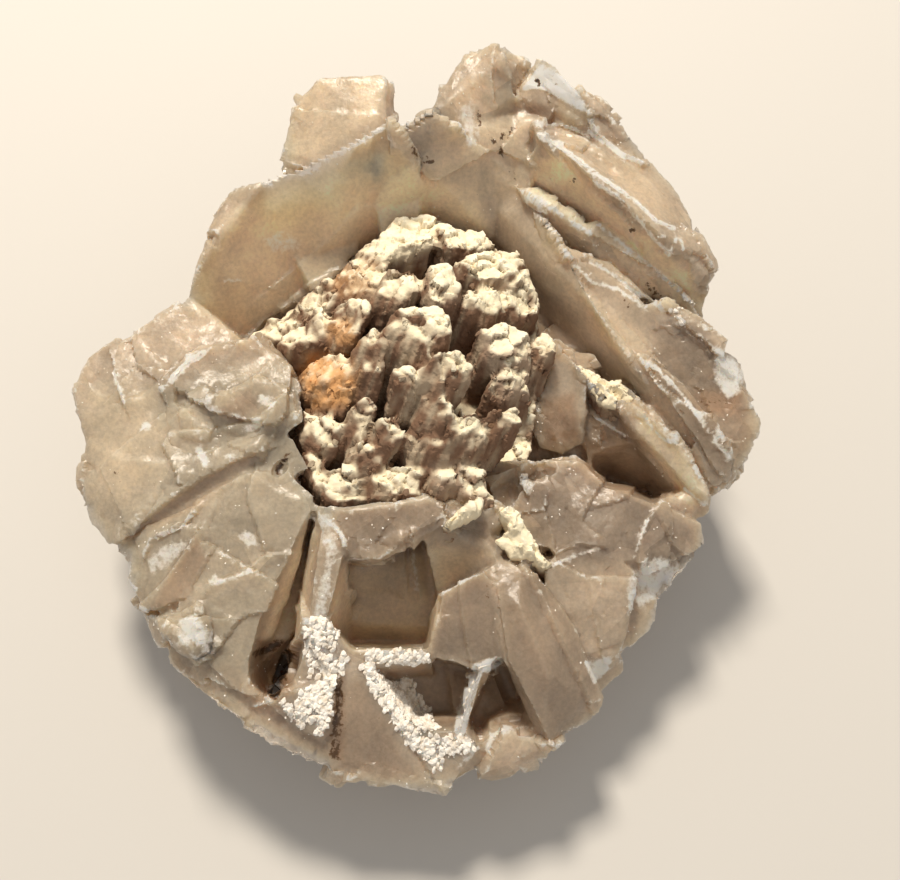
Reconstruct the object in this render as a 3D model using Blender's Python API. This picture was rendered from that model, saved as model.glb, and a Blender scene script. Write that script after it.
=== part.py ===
"""A chalcedony specimen: a cup of pale translucent blades grown outwards from one heart,
with deep wells left by vanished crystals, round a core of cream, crumbling column fragments.

Each corner below is where a camera saw it in a 900 x 880 picture, in pixels, with its height
above the surface that the stone rests on, in millimetres. seen() turns that into a real place,
from the camera's own seat.
"""

import math
import random

import bpy
import bmesh
from mathutils import Matrix, Vector

MM = 0.001

# the camera's seat over the stone
FOCAL_PX = 925.9
CENTRE_PX = (450, 440)
EYE = Vector((1.0, -34.6, 87.6)) * MM
SIGHT_HEADING = math.radians(-3.14)
SIGHT_TILT = math.radians(24.5)
SIGHT_ROLL = math.radians(2.6)

# the growth of the whole stone
HEART = Vector((0.0, 0.0, 5.0)) * MM
ROOT_DEPTH = 0.62
ROOT_REACH = 0.80
JOIN_OVERLAP = 0.35 * MM

# the outline of the rim, all the way round
RIM = [(75, 390, 17), (130, 340, 18), (190, 300, 19), (214, 245, 22), (232, 195, 23), (300, 168, 25),
       (345, 150, 26), (385, 124, 27), (430, 118, 27), (467, 58, 28), (505, 47, 28), (540, 58, 28),
       (600, 103, 26), (645, 158, 25), (684, 222, 23), (711, 275, 21), (740, 358, 18), (758, 430, 16),
       (735, 475, 15), (703, 545, 13), (650, 630, 12), (600, 700, 11), (545, 748, 10), (500, 770, 10),
       (440, 797, 10), (330, 775, 11), (270, 750, 12), (200, 690, 12), (150, 630, 13), (115, 570, 14),
       (85, 520, 15), (90, 460, 16)]

# the body under the rim, and the flat broken patch that it rests on
FOOT_RADIUS = 15.0 * MM
FOOT_SIDES = 13
FOOT_WOBBLE = 0.06
BODY_STEPS = ((0.86, 0.60), (0.70, 0.22))

# the blunt blades that run down from the rim to the foot
RIB_COUNT = 19
RIB_WIDTH = 5.6 * MM
RIB_PROFILE = ((0.95, 0.80, 1.0), (0.91, 0.50, 1.1), (0.60, 0.06, 0.7))
RIB_ROOT = 0.45

# the core
CORE_GAP = 0.5 * MM
CORE_SEED = 7
BLADE_SEED = 21

# blades of the far left wall, whose smooth inner faces look at the viewer
WALL = {
    "west shoulder": [(190, 300, 19), (200, 272, 21), (214, 245, 22), (232, 195, 23), (262, 186, 24),
                      (300, 290, 15), (270, 322, 14), (240, 343, 14)],
    "north west": [(262, 186, 24), (300, 168, 25), (345, 150, 26), (372, 133, 27), (365, 237, 17),
                   (345, 262, 16), (300, 290, 15)],
    "north": [(372, 133, 27), (388, 123, 27.5), (400, 133, 27), (412, 160, 25), (430, 214, 18),
              (395, 220, 17), (365, 237, 17)],
    "north saddle": [(400, 136, 26), (430, 118, 27), (455, 130, 26), (500, 180, 22), (490, 235, 18),
                     (460, 225, 17), (430, 214, 17)],
}

# the lumps and peaks at the far end
CREST = {
    "peak": [(430, 118, 26), (452, 80, 27), (467, 58, 27.5), (492, 50, 28.3), (503, 60, 28.5),
             (512, 95, 26.5), (490, 120, 25), (455, 135, 25)],
    "peak side": [(492, 50, 28), (505, 47, 28.3), (516, 66, 27.5), (530, 65, 27), (522, 85, 26),
                  (512, 97, 25.5), (505, 80, 27)],
    "saddle": [(455, 130, 25.5), (490, 118, 25), (515, 97, 25), (540, 122, 25), (530, 150, 24),
               (528, 185, 22), (500, 180, 21.5), (480, 150, 24)],
    "inner slope": [(470, 150, 24), (500, 160, 22.5), (528, 185, 22), (520, 200, 21), (495, 205, 19.5),
                    (487, 235, 17.5), (470, 225, 17), (460, 180, 21)],
}

# the long thin blades that run down the right side, outermost first
RIGHT = {
    "frosted": [(524, 84, 27), (540, 60, 28), (556, 68, 28.2), (578, 94, 27.6), (592, 114, 26.8),
                (570, 108, 26.6), (540, 86, 27)],
    "frosted foot": [(518, 98, 26), (530, 88, 26.6), (550, 102, 26.5), (575, 118, 26.2), (597, 133, 24.8),
                     (566, 127, 24), (540, 125, 24)],
    "outer grey": [(578, 90, 27), (602, 102, 26.3), (624, 134, 25.6), (642, 150, 25.2), (648, 164, 24.6),
                   (620, 148, 24.4), (598, 135, 24.8), (590, 114, 26)],
    "smooth grey": [(538, 126, 25.4), (562, 124, 25), (590, 134, 24.6), (615, 146, 24.5), (645, 161, 24),
                    (671, 186, 23.3), (685, 212, 22.8), (686, 232, 23), (662, 234, 24.9), (638, 209, 25.6),
                    (602, 182, 26.2), (578, 161, 26.4), (546, 138, 26.5)],
    "tall face": [(546, 140, 26.2), (578, 163, 26.2), (602, 184, 25.8), (638, 211, 25.1), (664, 237, 24.5),
                  (655, 272, 18.6), (600, 235, 19.2), (560, 212, 20), (530, 188, 21), (530, 160, 24)],
    "tall end": [(662, 236, 24.6), (686, 234, 23.4), (700, 240, 23), (706, 255, 22.5), (711, 277, 21.5),
                 (701, 313, 18), (652, 271, 18.7)],
    "rough": [(516, 186, 22.3), (550, 210, 22.4), (570, 218, 22.2), (587, 231, 22), (592, 262, 18.9),
              (562, 242, 19.4), (542, 220, 20.8)],
    "rough long": [(586, 231, 21.8), (598, 223, 22.4), (618, 237, 21.9), (650, 266, 21), (694, 305, 19.8),
                   (700, 315, 19.2), (670, 310, 18), (630, 286, 18.4), (590, 264, 18.8)],
    "rough step": [(572, 254, 20.6), (590, 261, 20.6), (612, 265, 20.4), (632, 286, 20), (658, 305, 19.5),
                   (668, 310, 19.2), (646, 305, 18.3), (592, 279, 18.7)],
    "pale face": [(566, 252, 20.8), (590, 278, 20.8), (628, 290, 20.4), (646, 306, 20.2), (648, 340, 18.8),
                  (658, 370, 18), (638, 358, 18.4), (618, 346, 18.6), (590, 306, 19.6)],
    "east": [(644, 308, 20.2), (670, 306, 20.5), (694, 322, 20), (718, 345, 19.4), (700, 366, 18),
             (684, 388, 17.6), (658, 370, 18.2), (646, 340, 18.8)],
    "east corner": [(700, 340, 19.2), (718, 345, 19.5), (739, 358, 18.8), (745, 385, 18.2), (722, 400, 17.2),
                    (682, 390, 17.5), (696, 362, 18.2)],
    "east low": [(682, 388, 17.7), (720, 398, 17.4), (746, 386, 18.2), (757, 425, 16.8), (754, 442, 16),
                 (746, 458, 15.3), (730, 475, 14.6), (712, 490, 13.8), (716, 470, 15), (722, 450, 16),
                 (704, 420, 16.8)],
    "east ridge": [(640, 358, 18.9), (658, 369, 19.2), (683, 390, 18.6), (710, 430, 17.7), (726, 450, 17),
                   (722, 472, 15.2), (706, 486, 14.5), (690, 462, 14.8), (665, 430, 15.3), (646, 400, 16)],
    "cavity wall": [(495, 205, 20), (520, 198, 21.5), (542, 222, 21.4), (566, 260, 20.9), (590, 305, 20),
                    (618, 346, 19), (638, 366, 18.3), (650, 392, 17.3), (640, 402, 14), (615, 395, 12.5),
                    (590, 370, 11.5), (570, 350, 11.5), (545, 330, 12), (530, 270, 14), (520, 248, 15.5),
                    (487, 235, 17)],
    "inner edge": [(543, 220, 21.8), (568, 258, 21.3), (592, 304, 20.4), (620, 345, 19.3), (645, 380, 18.1),
                   (632, 378, 16.8), (604, 342, 18), (580, 300, 19), (556, 252, 20.2)],
    "brown lump": [(534, 364, 16.5), (556, 350, 17.2), (573, 352, 17.2), (581, 375, 16.7), (583, 412, 15.5),
                   (580, 440, 13.5), (562, 450, 12.5), (540, 446, 13), (530, 412, 14.8)],
    "lump side": [(584, 378, 15.5), (604, 395, 15.3), (624, 411, 15.2), (632, 430, 14.6), (650, 456, 13),
                  (620, 476, 11.5), (590, 460, 11.5), (582, 420, 13.5)],
    "tongue": [(624, 415, 16.5), (640, 401, 17.3), (655, 412, 17.3), (672, 436, 16.8), (690, 462, 16.2),
               (706, 488, 15.6), (706, 503, 15), (690, 491, 14.6), (665, 466, 14.6), (640, 443, 14.8)],
    "tongue tip": [(655, 508, 14), (690, 490, 14.2), (708, 497, 14.6), (705, 512, 13.5), (686, 523, 12.6),
                   (662, 520, 12.6)],
}

# the broken blocks at the lower right and along the near rim
NEAR = {
    "rough top": [(485, 478, 15.5), (510, 472, 16), (545, 462, 16.5), (575, 462, 16.5), (600, 485, 16),
                  (640, 490, 16), (665, 520, 15), (640, 560, 14.5), (590, 550, 15.5), (540, 545, 14.5),
                  (500, 505, 14.5)],
    "south east": [(640, 495, 15.7), (665, 520, 15), (700, 526, 14), (703, 545, 13.5), (685, 572, 12.5),
                   (660, 600, 11.5), (625, 598, 12), (630, 560, 14.5)],
    "block": [(548, 565, 15), (560, 552, 15.3), (600, 545, 15.5), (630, 575, 14.5), (622, 600, 13.5),
              (620, 632, 12.5), (615, 655, 11), (580, 655, 11.5), (552, 595, 14)],
    "block foot": [(620, 598, 12.5), (660, 600, 12), (655, 622, 11.5), (645, 635, 11), (625, 650, 10.5),
                   (616, 640, 11)],
    "block toe": [(580, 655, 11.5), (612, 655, 11.5), (622, 662, 10), (620, 672, 9.5), (598, 688, 9),
                  (588, 675, 10)],
    "great round": [(490, 566, 15.5), (522, 560, 15.8), (548, 605, 15), (570, 635, 14), (582, 665, 13),
                    (600, 700, 11), (590, 718, 10.5), (545, 748, 10.5), (528, 700, 13), (505, 660, 14.5),
                    (495, 600, 15.5), (522, 610, 16.6), (548, 672, 14.9)],
    "corner": [(442, 592, 16), (460, 580, 16.3), (480, 571, 16.5), (497, 590, 15.9), (503, 655, 14),
               (470, 665, 13.5), (430, 651, 13.6), (429, 640, 13.8)],
    "south": [(335, 690, 13), (345, 672, 13.7), (365, 665, 13.5), (395, 725, 12), (430, 760, 10.5),
              (443, 797, 9.5), (400, 785, 9.5), (330, 772, 11)],
    "south point": [(395, 725, 12), (430, 728, 12), (470, 725, 12), (478, 750, 11.5), (480, 765, 10),
                    (460, 780, 9.8), (443, 797, 9.5), (425, 765, 10.4)],
    "south lip": [(478, 750, 10.7), (490, 745, 10.5), (500, 728, 11), (520, 725, 11), (540, 742, 10.3),
                  (545, 748, 10), (500, 770, 9.5), (480, 768, 9.5)],
    "upper sill": [(318, 510, 17.6), (345, 512, 17.8), (372, 518, 17.6), (398, 508, 17.8), (425, 500, 17.6),
                   (440, 512, 17.2), (436, 530, 16.9), (398, 546, 16.9), (378, 558, 16.6), (350, 557, 16.6),
                   (340, 540, 17)],
    "right sill": [(425, 500, 17.4), (455, 518, 17.2), (480, 506, 16.8), (492, 506, 16.5), (500, 524, 16),
                   (500, 556, 15.6), (492, 578, 15.4), (440, 592, 15.5), (430, 545, 16.5)],
    "left ridge": [(318, 508, 17.7), (340, 512, 17.7), (344, 545, 17.2), (342, 568, 16.6), (330, 612, 15.7),
                   (350, 650, 14), (345, 668, 13.6), (335, 682, 13.3), (300, 700, 12.9), (292, 690, 12.9),
                   (299, 655, 14.2), (304, 610, 15.4), (312, 565, 16.7)],
}

# thin partitions that stand straight up between the wells
PARTITIONS = {
    "well partition": [(335, 642, 14.5), (352, 648, 14), (428, 650, 13.7), (434, 662, 13), (365, 665, 13.3),
                       (345, 667, 13.5)],
    "white partition": [(497, 660, 14), (480, 663, 14), (467, 690, 13.3), (457, 730, 12.2), (466, 733, 12),
                        (478, 690, 13), (488, 668, 13.8)],
}

# the great broken face at the lower left: bundles of blades seen end on
FACE = {
    "shoulder": [(130, 340, 18.2), (165, 320, 18.7), (190, 300, 19.2), (240, 343, 17.8), (205, 354, 18.2),
                 (168, 378, 17.8), (130, 360, 18)],
    "west": [(77, 388, 17), (88, 362, 17.6), (105, 348, 18), (130, 340, 18.4), (166, 374, 18.4),
             (180, 420, 18), (176, 468, 17.6), (120, 470, 17), (88, 440, 16.4)],
    "west low": [(88, 440, 16.5), (120, 465, 17.2), (176, 466, 17.7), (122, 534, 15.7), (108, 541, 15),
                 (90, 520, 15), (84, 490, 15.3), (90, 460, 15.9)],
    "rough middle": [(168, 380, 18.9), (203, 352, 19.2), (245, 345, 19.2), (275, 362, 19), (298, 382, 18.8),
                     (300, 420, 18.8), (265, 448, 18.3), (215, 455, 18), (178, 440, 18)],
    "upper step": [(215, 402, 19.6), (255, 385, 19.9), (292, 394, 19.5), (294, 420, 19.1), (250, 430, 18.8),
                   (222, 426, 18.9)],
    "seam": [(164, 432, 17.8), (200, 430, 18.2), (216, 456, 17.9), (180, 478, 17.5), (160, 466, 17.4)],
    "small step": [(186, 404, 19), (205, 392, 19.3), (216, 410, 19.1), (206, 436, 18.6), (186, 430, 18.5)],
    "band": [(119, 546, 15), (150, 517, 16), (178, 468, 17.5), (240, 455, 18), (290, 440, 18.3),
             (308, 470, 17.9), (262, 474, 17.3), (210, 500, 16.6), (150, 545, 14.9)],
    "strip": [(118, 549, 15.1), (160, 528, 16.2), (194, 511, 17.2), (202, 518, 17), (182, 536, 16),
              (136, 573, 14.6)],
    "prism": [(149, 531, 16), (192, 530, 17), (210, 562, 16.3), (160, 602, 14.9), (144, 605, 14.2),
              (128, 577, 14.7)],
    "pale": [(200, 502, 17.2), (245, 476, 18), (285, 472, 18.1), (312, 498, 17.8), (302, 530, 17),
             (283, 600, 15.4), (262, 612, 15.3), (215, 566, 16.3), (200, 530, 16.9)],
    "middle low": [(158, 606, 14.6), (214, 564, 16.3), (262, 606, 15.5), (284, 590, 15.4), (254, 662, 14),
                   (215, 652, 14.4), (175, 642, 13.9)],
    "flake": [(174, 622, 15.1), (196, 611, 15.7), (203, 646, 15), (188, 642, 14.7)],
    "lower": [(147, 614, 13.6), (165, 622, 14.2), (215, 643, 14.7), (254, 660, 14.2), (250, 692, 13.4),
              (235, 723, 12.4), (200, 692, 12.1), (170, 657, 12.7)],
    "lower edge": [(233, 714, 12.7), (250, 690, 13.3), (271, 704, 13), (268, 746, 11.8), (240, 731, 11.9)],
    "near lip": [(262, 703, 12.6), (300, 722, 12.4), (335, 735, 11.8), (335, 773, 10.8), (300, 758, 11.4),
                 (266, 746, 11.8)],
    "knob": [(268, 706, 13.5), (300, 690, 14.2), (335, 680, 14), (333, 712, 13.3), (318, 737, 12.5),
             (293, 728, 12.5)],
}

# the thin plate that stands out behind the far wall
FIN = [(312, 168, 23.8), (293, 164, 23.5), (279, 158, 23.2), (292, 125, 24.5), (297, 100, 25.3),
       (318, 78, 26.3), (383, 76, 26.8), (386, 84, 26.7), (376, 114, 26), (385, 140, 25), (345, 162, 24.3)]
FIN_HIDDEN_CORNERS = (0, 2, 9, 10)
FIN_THICKNESS = 1.8 * MM
FIN_ROOT_STEP = Vector((0.3, -2.5, -6.5)) * MM

PARTITION_DEPTH = 9.0 * MM

# wells and slots: the rim of each opening, then its floor
WELLS = {
    "great well": ([(343, 558, 16.6), (400, 556, 16.6), (436, 556, 16.5), (442, 592, 15.8), (430, 651, 14.2),
                    (352, 650, 14.4), (328, 622, 15.2), (334, 600, 15.9)],
                   [(350, 643, 6), (425, 643, 6)]),
    "well arm": ([(400, 548, 16.8), (440, 526, 16.9), (470, 533, 16.4), (490, 546, 15.9), (497, 562, 15.6),
                  (442, 592, 15.8), (405, 588, 15.9)], [(420, 600, 10.5), (446, 590, 11)]),
    "middle well": ([(378, 669, 13.4), (430, 663, 13.4), (478, 665, 13.4), (464, 700, 12.9), (457, 729, 12),
                     (428, 730, 12), (408, 706, 12.6)], [(424, 722, 9), (450, 722, 8.6)]),
    "near well": ([(485, 672, 13.5), (502, 663, 13.7), (530, 708, 12.4), (538, 738, 11), (512, 727, 11),
                   (492, 737, 11.2), (468, 736, 11.9)], [(497, 720, 8.8), (522, 718, 9)]),
    "long groove": ([(309, 513, 17.3), (321, 530, 17.1), (311, 570, 16.2), (303, 612, 15.2), (298, 660, 14.1),
                     (290, 686, 13.5), (276, 700, 13.1), (262, 700, 13), (250, 684, 13.3), (250, 660, 13.8),
                     (262, 620, 14.8), (290, 560, 16.2)],
                    [(309, 560, 14.2), (280, 640, 10.4), (268, 668, 8.6), (276, 688, 7)]),
    "east slot": ([(580, 456, 15.6), (583, 441, 14.6), (632, 438, 14.8), (652, 456, 14.7), (682, 490, 14.2),
                   (655, 503, 14), (640, 488, 15.8), (603, 486, 16.1)], [(606, 478, 6.5), (650, 495, 6.5)]),
    "small slit": ([(270, 474, 18.2), (288, 452, 18.4), (293, 452, 18.4), (280, 474, 18.2)],
                   [(275, 472, 13), (288, 456, 13)]),
    "small gap": ([(491, 530, 16.2), (502, 520, 16.4), (520, 542, 15.9), (551, 564, 15.4), (535, 572, 15.2),
                   (506, 558, 15.6)], [(514, 548, 13), (530, 558, 13)]),
}
WELL_RISE = 2.5 * MM

# the hollow that the core fills: its rim, and how far it goes down
SEAT_RIM = [(243, 343, 15), (272, 320, 15.5), (300, 295, 16), (345, 262, 17), (395, 220, 19), (430, 213, 19.5),
            (487, 233, 19.5), (526, 262, 18.5), (540, 300, 18), (542, 345, 17.5), (531, 372, 16.5),
            (530, 458, 15.3), (490, 503, 14.5), (425, 503, 15.5), (355, 514, 15.5), (310, 485, 16),
            (297, 400, 16.5)]
SEAT_DEPTH = 9.0 * MM
SEAT_SINK = 1.0 * MM
SEAT_SHRINK = 0.62

# fragments of the core: the corners of each broken top
FRAGMENTS = {
    "cap": [(436, 214, 20.5), (400, 219, 20.3), (362, 244, 19.5), (352, 262, 19), (380, 262, 20.8),
            (412, 250, 21.8), (437, 238, 21.3)],
    "cap shoulder": [(434, 222, 20.3), (455, 226, 20.2), (487, 233, 19.3), (489, 247, 19.8), (470, 254, 20.6),
                     (445, 252, 21)],
    "east cluster": [(455, 258, 21.6), (490, 250, 20.6), (520, 252, 19.6), (528, 262, 19.2), (512, 280, 20.2),
                     (480, 284, 21.4), (462, 276, 21.8)],
    "east knob": [(500, 274, 20), (524, 268, 19.2), (537, 290, 18.8), (539, 318, 18.2), (520, 322, 18.8),
                  (500, 308, 19.6)],
    "east ledge": [(468, 290, 21.6), (498, 290, 20.6), (504, 314, 19.6), (480, 320, 20.7), (462, 306, 21.7)],
    "tan slope": [(350, 262, 18.8), (380, 258, 20.2), (394, 268, 21.2), (374, 294, 20.7), (345, 298, 19.2),
                  (332, 282, 18)],
    "bright block": [(388, 267, 22.2), (419, 268, 22.6), (421, 286, 22.6), (401, 306, 22.2), (376, 300, 21.5),
                     (375, 286, 21.3)],
    "upper slope": [(330, 276, 17.6), (346, 292, 18.5), (330, 312, 18), (300, 324, 17), (288, 312, 16.5),
                    (305, 294, 16.8)],
    "west tail": [(300, 312, 16.5), (300, 330, 16.8), (275, 345, 16), (246, 344, 15.3), (252, 332, 15.3),
                  (275, 318, 15.8)],
    "west step": [(292, 326, 17.4), (325, 310, 18.4), (338, 318, 19), (322, 340, 18.7), (288, 352, 17.5),
                  (274, 346, 16.9)],
    "middle slope": [(340, 302, 19.5), (364, 296, 20.7), (374, 312, 21.3), (356, 338, 20.4), (336, 346, 19.2),
                     (330, 325, 18.8)],
    "crown": [(392, 310, 23.2), (430, 312, 24), (449, 306, 23.6), (452, 330, 23.6), (430, 350, 23.6),
              (405, 346, 23.1), (385, 330, 22.6)],
    "rear step": [(427, 270, 22.8), (450, 264, 22.2), (460, 292, 22.4), (446, 306, 22.7), (428, 302, 22.9)],
    "round boss": [(318, 350, 19.2), (345, 350, 20), (358, 370, 20.2), (352, 400, 19.3), (325, 412, 18.2),
                   (303, 398, 17.6), (300, 370, 18)],
    "leaning column": [(352, 350, 20.8), (376, 326, 22), (390, 340, 22.2), (382, 378, 21.2), (362, 378, 20.6)],
    "middle column": [(432, 352, 23.8), (462, 348, 23.3), (476, 368, 22.6), (468, 388, 21.9), (440, 388, 22.6),
                      (425, 370, 23.1)],
    "grey block": [(480, 330, 21.2), (512, 326, 19.8), (530, 344, 19), (531, 364, 18.5), (505, 368, 19.6),
                   (485, 356, 20.7)],
    "grey foot": [(490, 372, 19.8), (530, 370, 18.2), (531, 400, 17.3), (502, 404, 18.1), (486, 390, 19.3)],
    "bright nodule": [(531, 342, 19), (545, 332, 19), (557, 345, 18.6), (552, 360, 18.3), (537, 364, 18.4)],
    "high knob": [(392, 370, 22.1), (412, 366, 22.4), (421, 385, 21.9), (408, 404, 21), (390, 396, 21)],
    "low knob": [(378, 420, 20), (398, 415, 20.2), (406, 432, 19.7), (395, 454, 18.8), (376, 446, 18.8)],
    "small knob": [(407, 430, 19.5), (420, 430, 19.5), (420, 448, 18.8), (407, 452, 18.7)],
    "near column": [(418, 396, 21.4), (448, 394, 21.8), (458, 412, 21), (440, 432, 20.2), (420, 424, 20.3)],
    "pale block": [(450, 415, 21.1), (475, 409, 20.6), (494, 420, 19.7), (492, 445, 18.7), (466, 461, 18.6),
                   (447, 440, 19.9)],
    "bright cube": [(489, 410, 20.4), (520, 410, 19.6), (524, 427, 19.2), (497, 436, 19.6)],
    "bright lump": [(500, 447, 19.2), (525, 434, 18.6), (531, 455, 18.2), (514, 478, 18), (498, 464, 18.6)],
    "east crumb": [(532, 447, 17.8), (551, 447, 17.3), (557, 460, 17.1), (540, 465, 17.3)],
    "west cluster": [(300, 408, 17.7), (330, 414, 18.4), (346, 424, 18.6), (338, 452, 18), (306, 452, 17.2)],
    "west low": [(301, 456, 17), (325, 458, 17.5), (330, 474, 17.2), (313, 482, 16.8)],
    "leaning shaft": [(348, 406, 19.6), (370, 392, 20.6), (380, 404, 20.2), (362, 442, 18.7), (345, 434, 18.6)],
    "leaning foot": [(368, 444, 18.9), (390, 458, 18.4), (380, 472, 17.9), (352, 468, 17.8), (348, 450, 18.3)],
    "low middle": [(420, 436, 19.7), (446, 442, 19.6), (452, 462, 18.7), (428, 464, 18.5), (412, 454, 18.8)],
    "west ledge": [(310, 474, 17.1), (338, 466, 17.8), (362, 468, 17.8), (362, 504, 17), (330, 507, 16.8),
                   (313, 492, 16.6)],
    "near ledge": [(366, 472, 17.8), (395, 466, 18), (426, 470, 17.9), (424, 496, 17.3), (395, 505, 17),
                   (367, 503, 17)],
    "blunt stick": [(428, 468, 18.1), (450, 464, 18.1), (456, 486, 17.6), (446, 501, 17.2), (430, 494, 17.4)],
    "slanting stick": [(458, 466, 18), (484, 472, 17.3), (495, 500, 16.5), (472, 508, 16.6), (458, 495, 17.2)],
}
FRAGMENT_FOOT = 14.0 * MM
FRAGMENT_SHORTEST = 2.2 * MM
FRAGMENT_LEAN = Vector((-0.30, -0.48, -0.83))
FRAGMENT_TAPER = 0.12
FRAGMENT_BEVEL = 0.5 * MM

# cream lumps caught between the blades on the right
CAUGHT = {
    "long stick": [(580, 368, 16.9), (588, 368, 17), (628, 406, 16.4), (624, 413, 16.2), (602, 402, 16.3)],
    "back stick": [(602, 382, 16.9), (620, 380, 17), (638, 396, 16.7), (630, 404, 16.4)],
    "lower stick": [(498, 542, 15.8), (508, 533, 16.2), (522, 531, 16.2), (551, 562, 15.6), (545, 568, 15.4),
                    (512, 554, 15.5)],
    "lower lump": [(503, 512, 16.9), (516, 514, 16.9), (523, 525, 16.6), (514, 530, 16.5)],
    "near crumb": [(445, 521, 18.2), (476, 503, 18), (474, 512, 17.9), (451, 527, 17.9)],
}
CAUGHT_DEPTH = 4.0 * MM

CHALCEDONY_COLOUR = (0.55, 0.47, 0.38, 1.0)
CREAM_COLOUR = (0.86, 0.76, 0.55, 1.0)


def clear_scene():
    for old in list(bpy.data.objects):
        bpy.data.objects.remove(old)


def collection(name):
    made = bpy.data.collections.new(name)
    bpy.context.scene.collection.children.link(made)
    return made


def stone_material(name, colour, roughness):
    material = bpy.data.materials.new(name)
    material.use_nodes = True
    shader = material.node_tree.nodes["Principled BSDF"]
    shader.inputs["Base Color"].default_value = colour
    shader.inputs["Roughness"].default_value = roughness
    shader.inputs["Metallic"].default_value = 0.0
    return material


def sight_axes():
    """The camera's right, up and back directions."""
    turn = Matrix.Rotation(SIGHT_HEADING, 3, "Z")
    tilt = Matrix.Rotation(SIGHT_TILT, 3, "X")
    roll = Matrix.Rotation(SIGHT_ROLL, 3, "Z")
    return turn @ tilt @ roll


def seen(corner):
    """The place, in metres, of a corner seen at a pixel, at its height in millimetres."""
    across, down, height = corner
    line = sight_axes() @ Vector(((across - CENTRE_PX[0]) / FOCAL_PX, (CENTRE_PX[1] - down) / FOCAL_PX, -1.0))
    reach = (height * MM - EYE.z) / line.z
    return EYE + line * reach


def middle_of(points):
    return sum(points, Vector()) / len(points)


def widened(points, by):
    """The points moved away from their middle, so that neighbours overlap where they are joined."""
    middle = middle_of(points)
    return [p + (p - middle).normalized() * by for p in points]


def hull(name, points, home):
    """A crystal with flat faces: the tightest closed solid round its corners."""
    mesh = bpy.data.meshes.new(name)
    shape = bmesh.new()
    for p in points:
        shape.verts.new(p)
    made = bmesh.ops.convex_hull(shape, input=shape.verts)
    inside = {v for v in made["geom_interior"] + made["geom_unused"] if isinstance(v, bmesh.types.BMVert)}
    bmesh.ops.delete(shape, geom=list(inside), context="VERTS")
    bmesh.ops.recalc_face_normals(shape, faces=shape.faces)
    shape.to_mesh(mesh)
    shape.free()
    made = bpy.data.objects.new(name, mesh)
    home.objects.link(made)
    return made


def helper(made):
    made.hide_render = True
    made.display_type = "WIRE"
    return made


def blade(name, corners, home):
    """A blade whose face was seen: behind that face it runs down into the body, narrowing to the foot."""
    crown = widened([seen(c) for c in corners], JOIN_OVERLAP)
    root = []
    for p in crown:
        sight = p - EYE
        deep = p + sight * (p.z * ROOT_DEPTH / -sight.z)
        rim = rim_at(math.atan2(deep.y, deep.x))
        most = math.hypot(rim.x, rim.y) * ROOT_REACH
        out = math.hypot(deep.x, deep.y)
        if out > most:
            deep = Vector((deep.x * most / out, deep.y * most / out, deep.z))
        root.append(deep)
    return helper(hull(name, crown + root, home))


def upright_blade(name, corners, depth, home):
    """A partition that stands straight up from the stone below it."""
    crown = [seen(c) for c in corners]
    return helper(hull(name, crown + [p - Vector((0, 0, depth)) for p in crown], home))


def plate(name, corners, thickness, home):
    """A thin plate of even thickness."""
    face = [seen(c) for c in corners]
    normal = (face[2] - face[0]).cross(face[5] - face[0]).normalized()
    down = normal if normal.z < 0 else -normal
    face += [face[i] + FIN_ROOT_STEP for i in FIN_HIDDEN_CORNERS]
    return helper(hull(name, face + [p + down * thickness for p in face], home))


def rim_at(angle):
    """The rim's own place in one direction from the middle."""
    places = [seen(c) for c in RIM]
    return min(places, key=lambda p: abs((math.atan2(p.y, p.x) - angle + math.pi) % math.tau - math.pi))


def body(home, chance):
    """The solid under the rim, tapering to the flat patch that it rests on."""
    points = []
    for i in range(FOOT_SIDES):
        angle = math.tau * i / FOOT_SIDES
        radius = FOOT_RADIUS * (1 + chance.uniform(-FOOT_WOBBLE, FOOT_WOBBLE))
        points.append(Vector((radius * math.cos(angle), radius * math.sin(angle), 0)))
    for corner in RIM:
        p = seen(corner)
        for out, up in BODY_STEPS:
            points.append(Vector((p.x * out, p.y * out, p.z * up)))
    return hull("chalcedony", points, home)


def rib(i, home, chance):
    """One of the blunt blades under the rim."""
    angle = math.tau * (i + chance.uniform(-0.3, 0.3)) / RIB_COUNT
    rim = rim_at(angle)
    side = Vector((-rim.y, rim.x, 0)).normalized() * RIB_WIDTH / 2 * chance.uniform(0.7, 1.25)
    swing = chance.uniform(-0.35, 0.35)
    stick_out = chance.uniform(0.96, 1.03)
    crown = []
    for out, up, wide in RIB_PROFILE:
        reach = out * stick_out
        middle = Vector((rim.x * reach, rim.y * reach, rim.z * up * chance.uniform(0.92, 1.05)))
        crown += [middle + side * wide * (1 + swing), middle - side * wide * (1 - swing),
                  middle * chance.uniform(0.985, 1.03) + side * chance.uniform(-0.4, 0.4)]
    root = [p.lerp(HEART + Vector((0, 0, 3 * MM)), RIB_ROOT) for p in crown]
    return helper(hull(f"rib {i}", crown + root, home))


def well_cutter(name, rim, floor, home):
    """What a vanished crystal filled: an opening that narrows to its floor."""
    edge = [seen(c) for c in rim]
    above = [p + (EYE - p).normalized() * WELL_RISE for p in edge]
    return helper(hull(name, edge + above + [seen(c) for c in floor], home))


def core_seat(home):
    """The lower part of the core, which fills the hollow between the blades."""
    rim = [seen(c) - Vector((0, 0, SEAT_SINK)) for c in SEAT_RIM]
    middle = middle_of(rim)
    middle.z = 0
    foot = []
    for p in rim[::2]:
        inward = Vector((p.x, p.y, 0)).lerp(middle, 1 - SEAT_SHRINK)
        foot.append(Vector((inward.x, inward.y, p.z - SEAT_DEPTH)))
    return hull("matrix_core", rim + foot, home)


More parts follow.
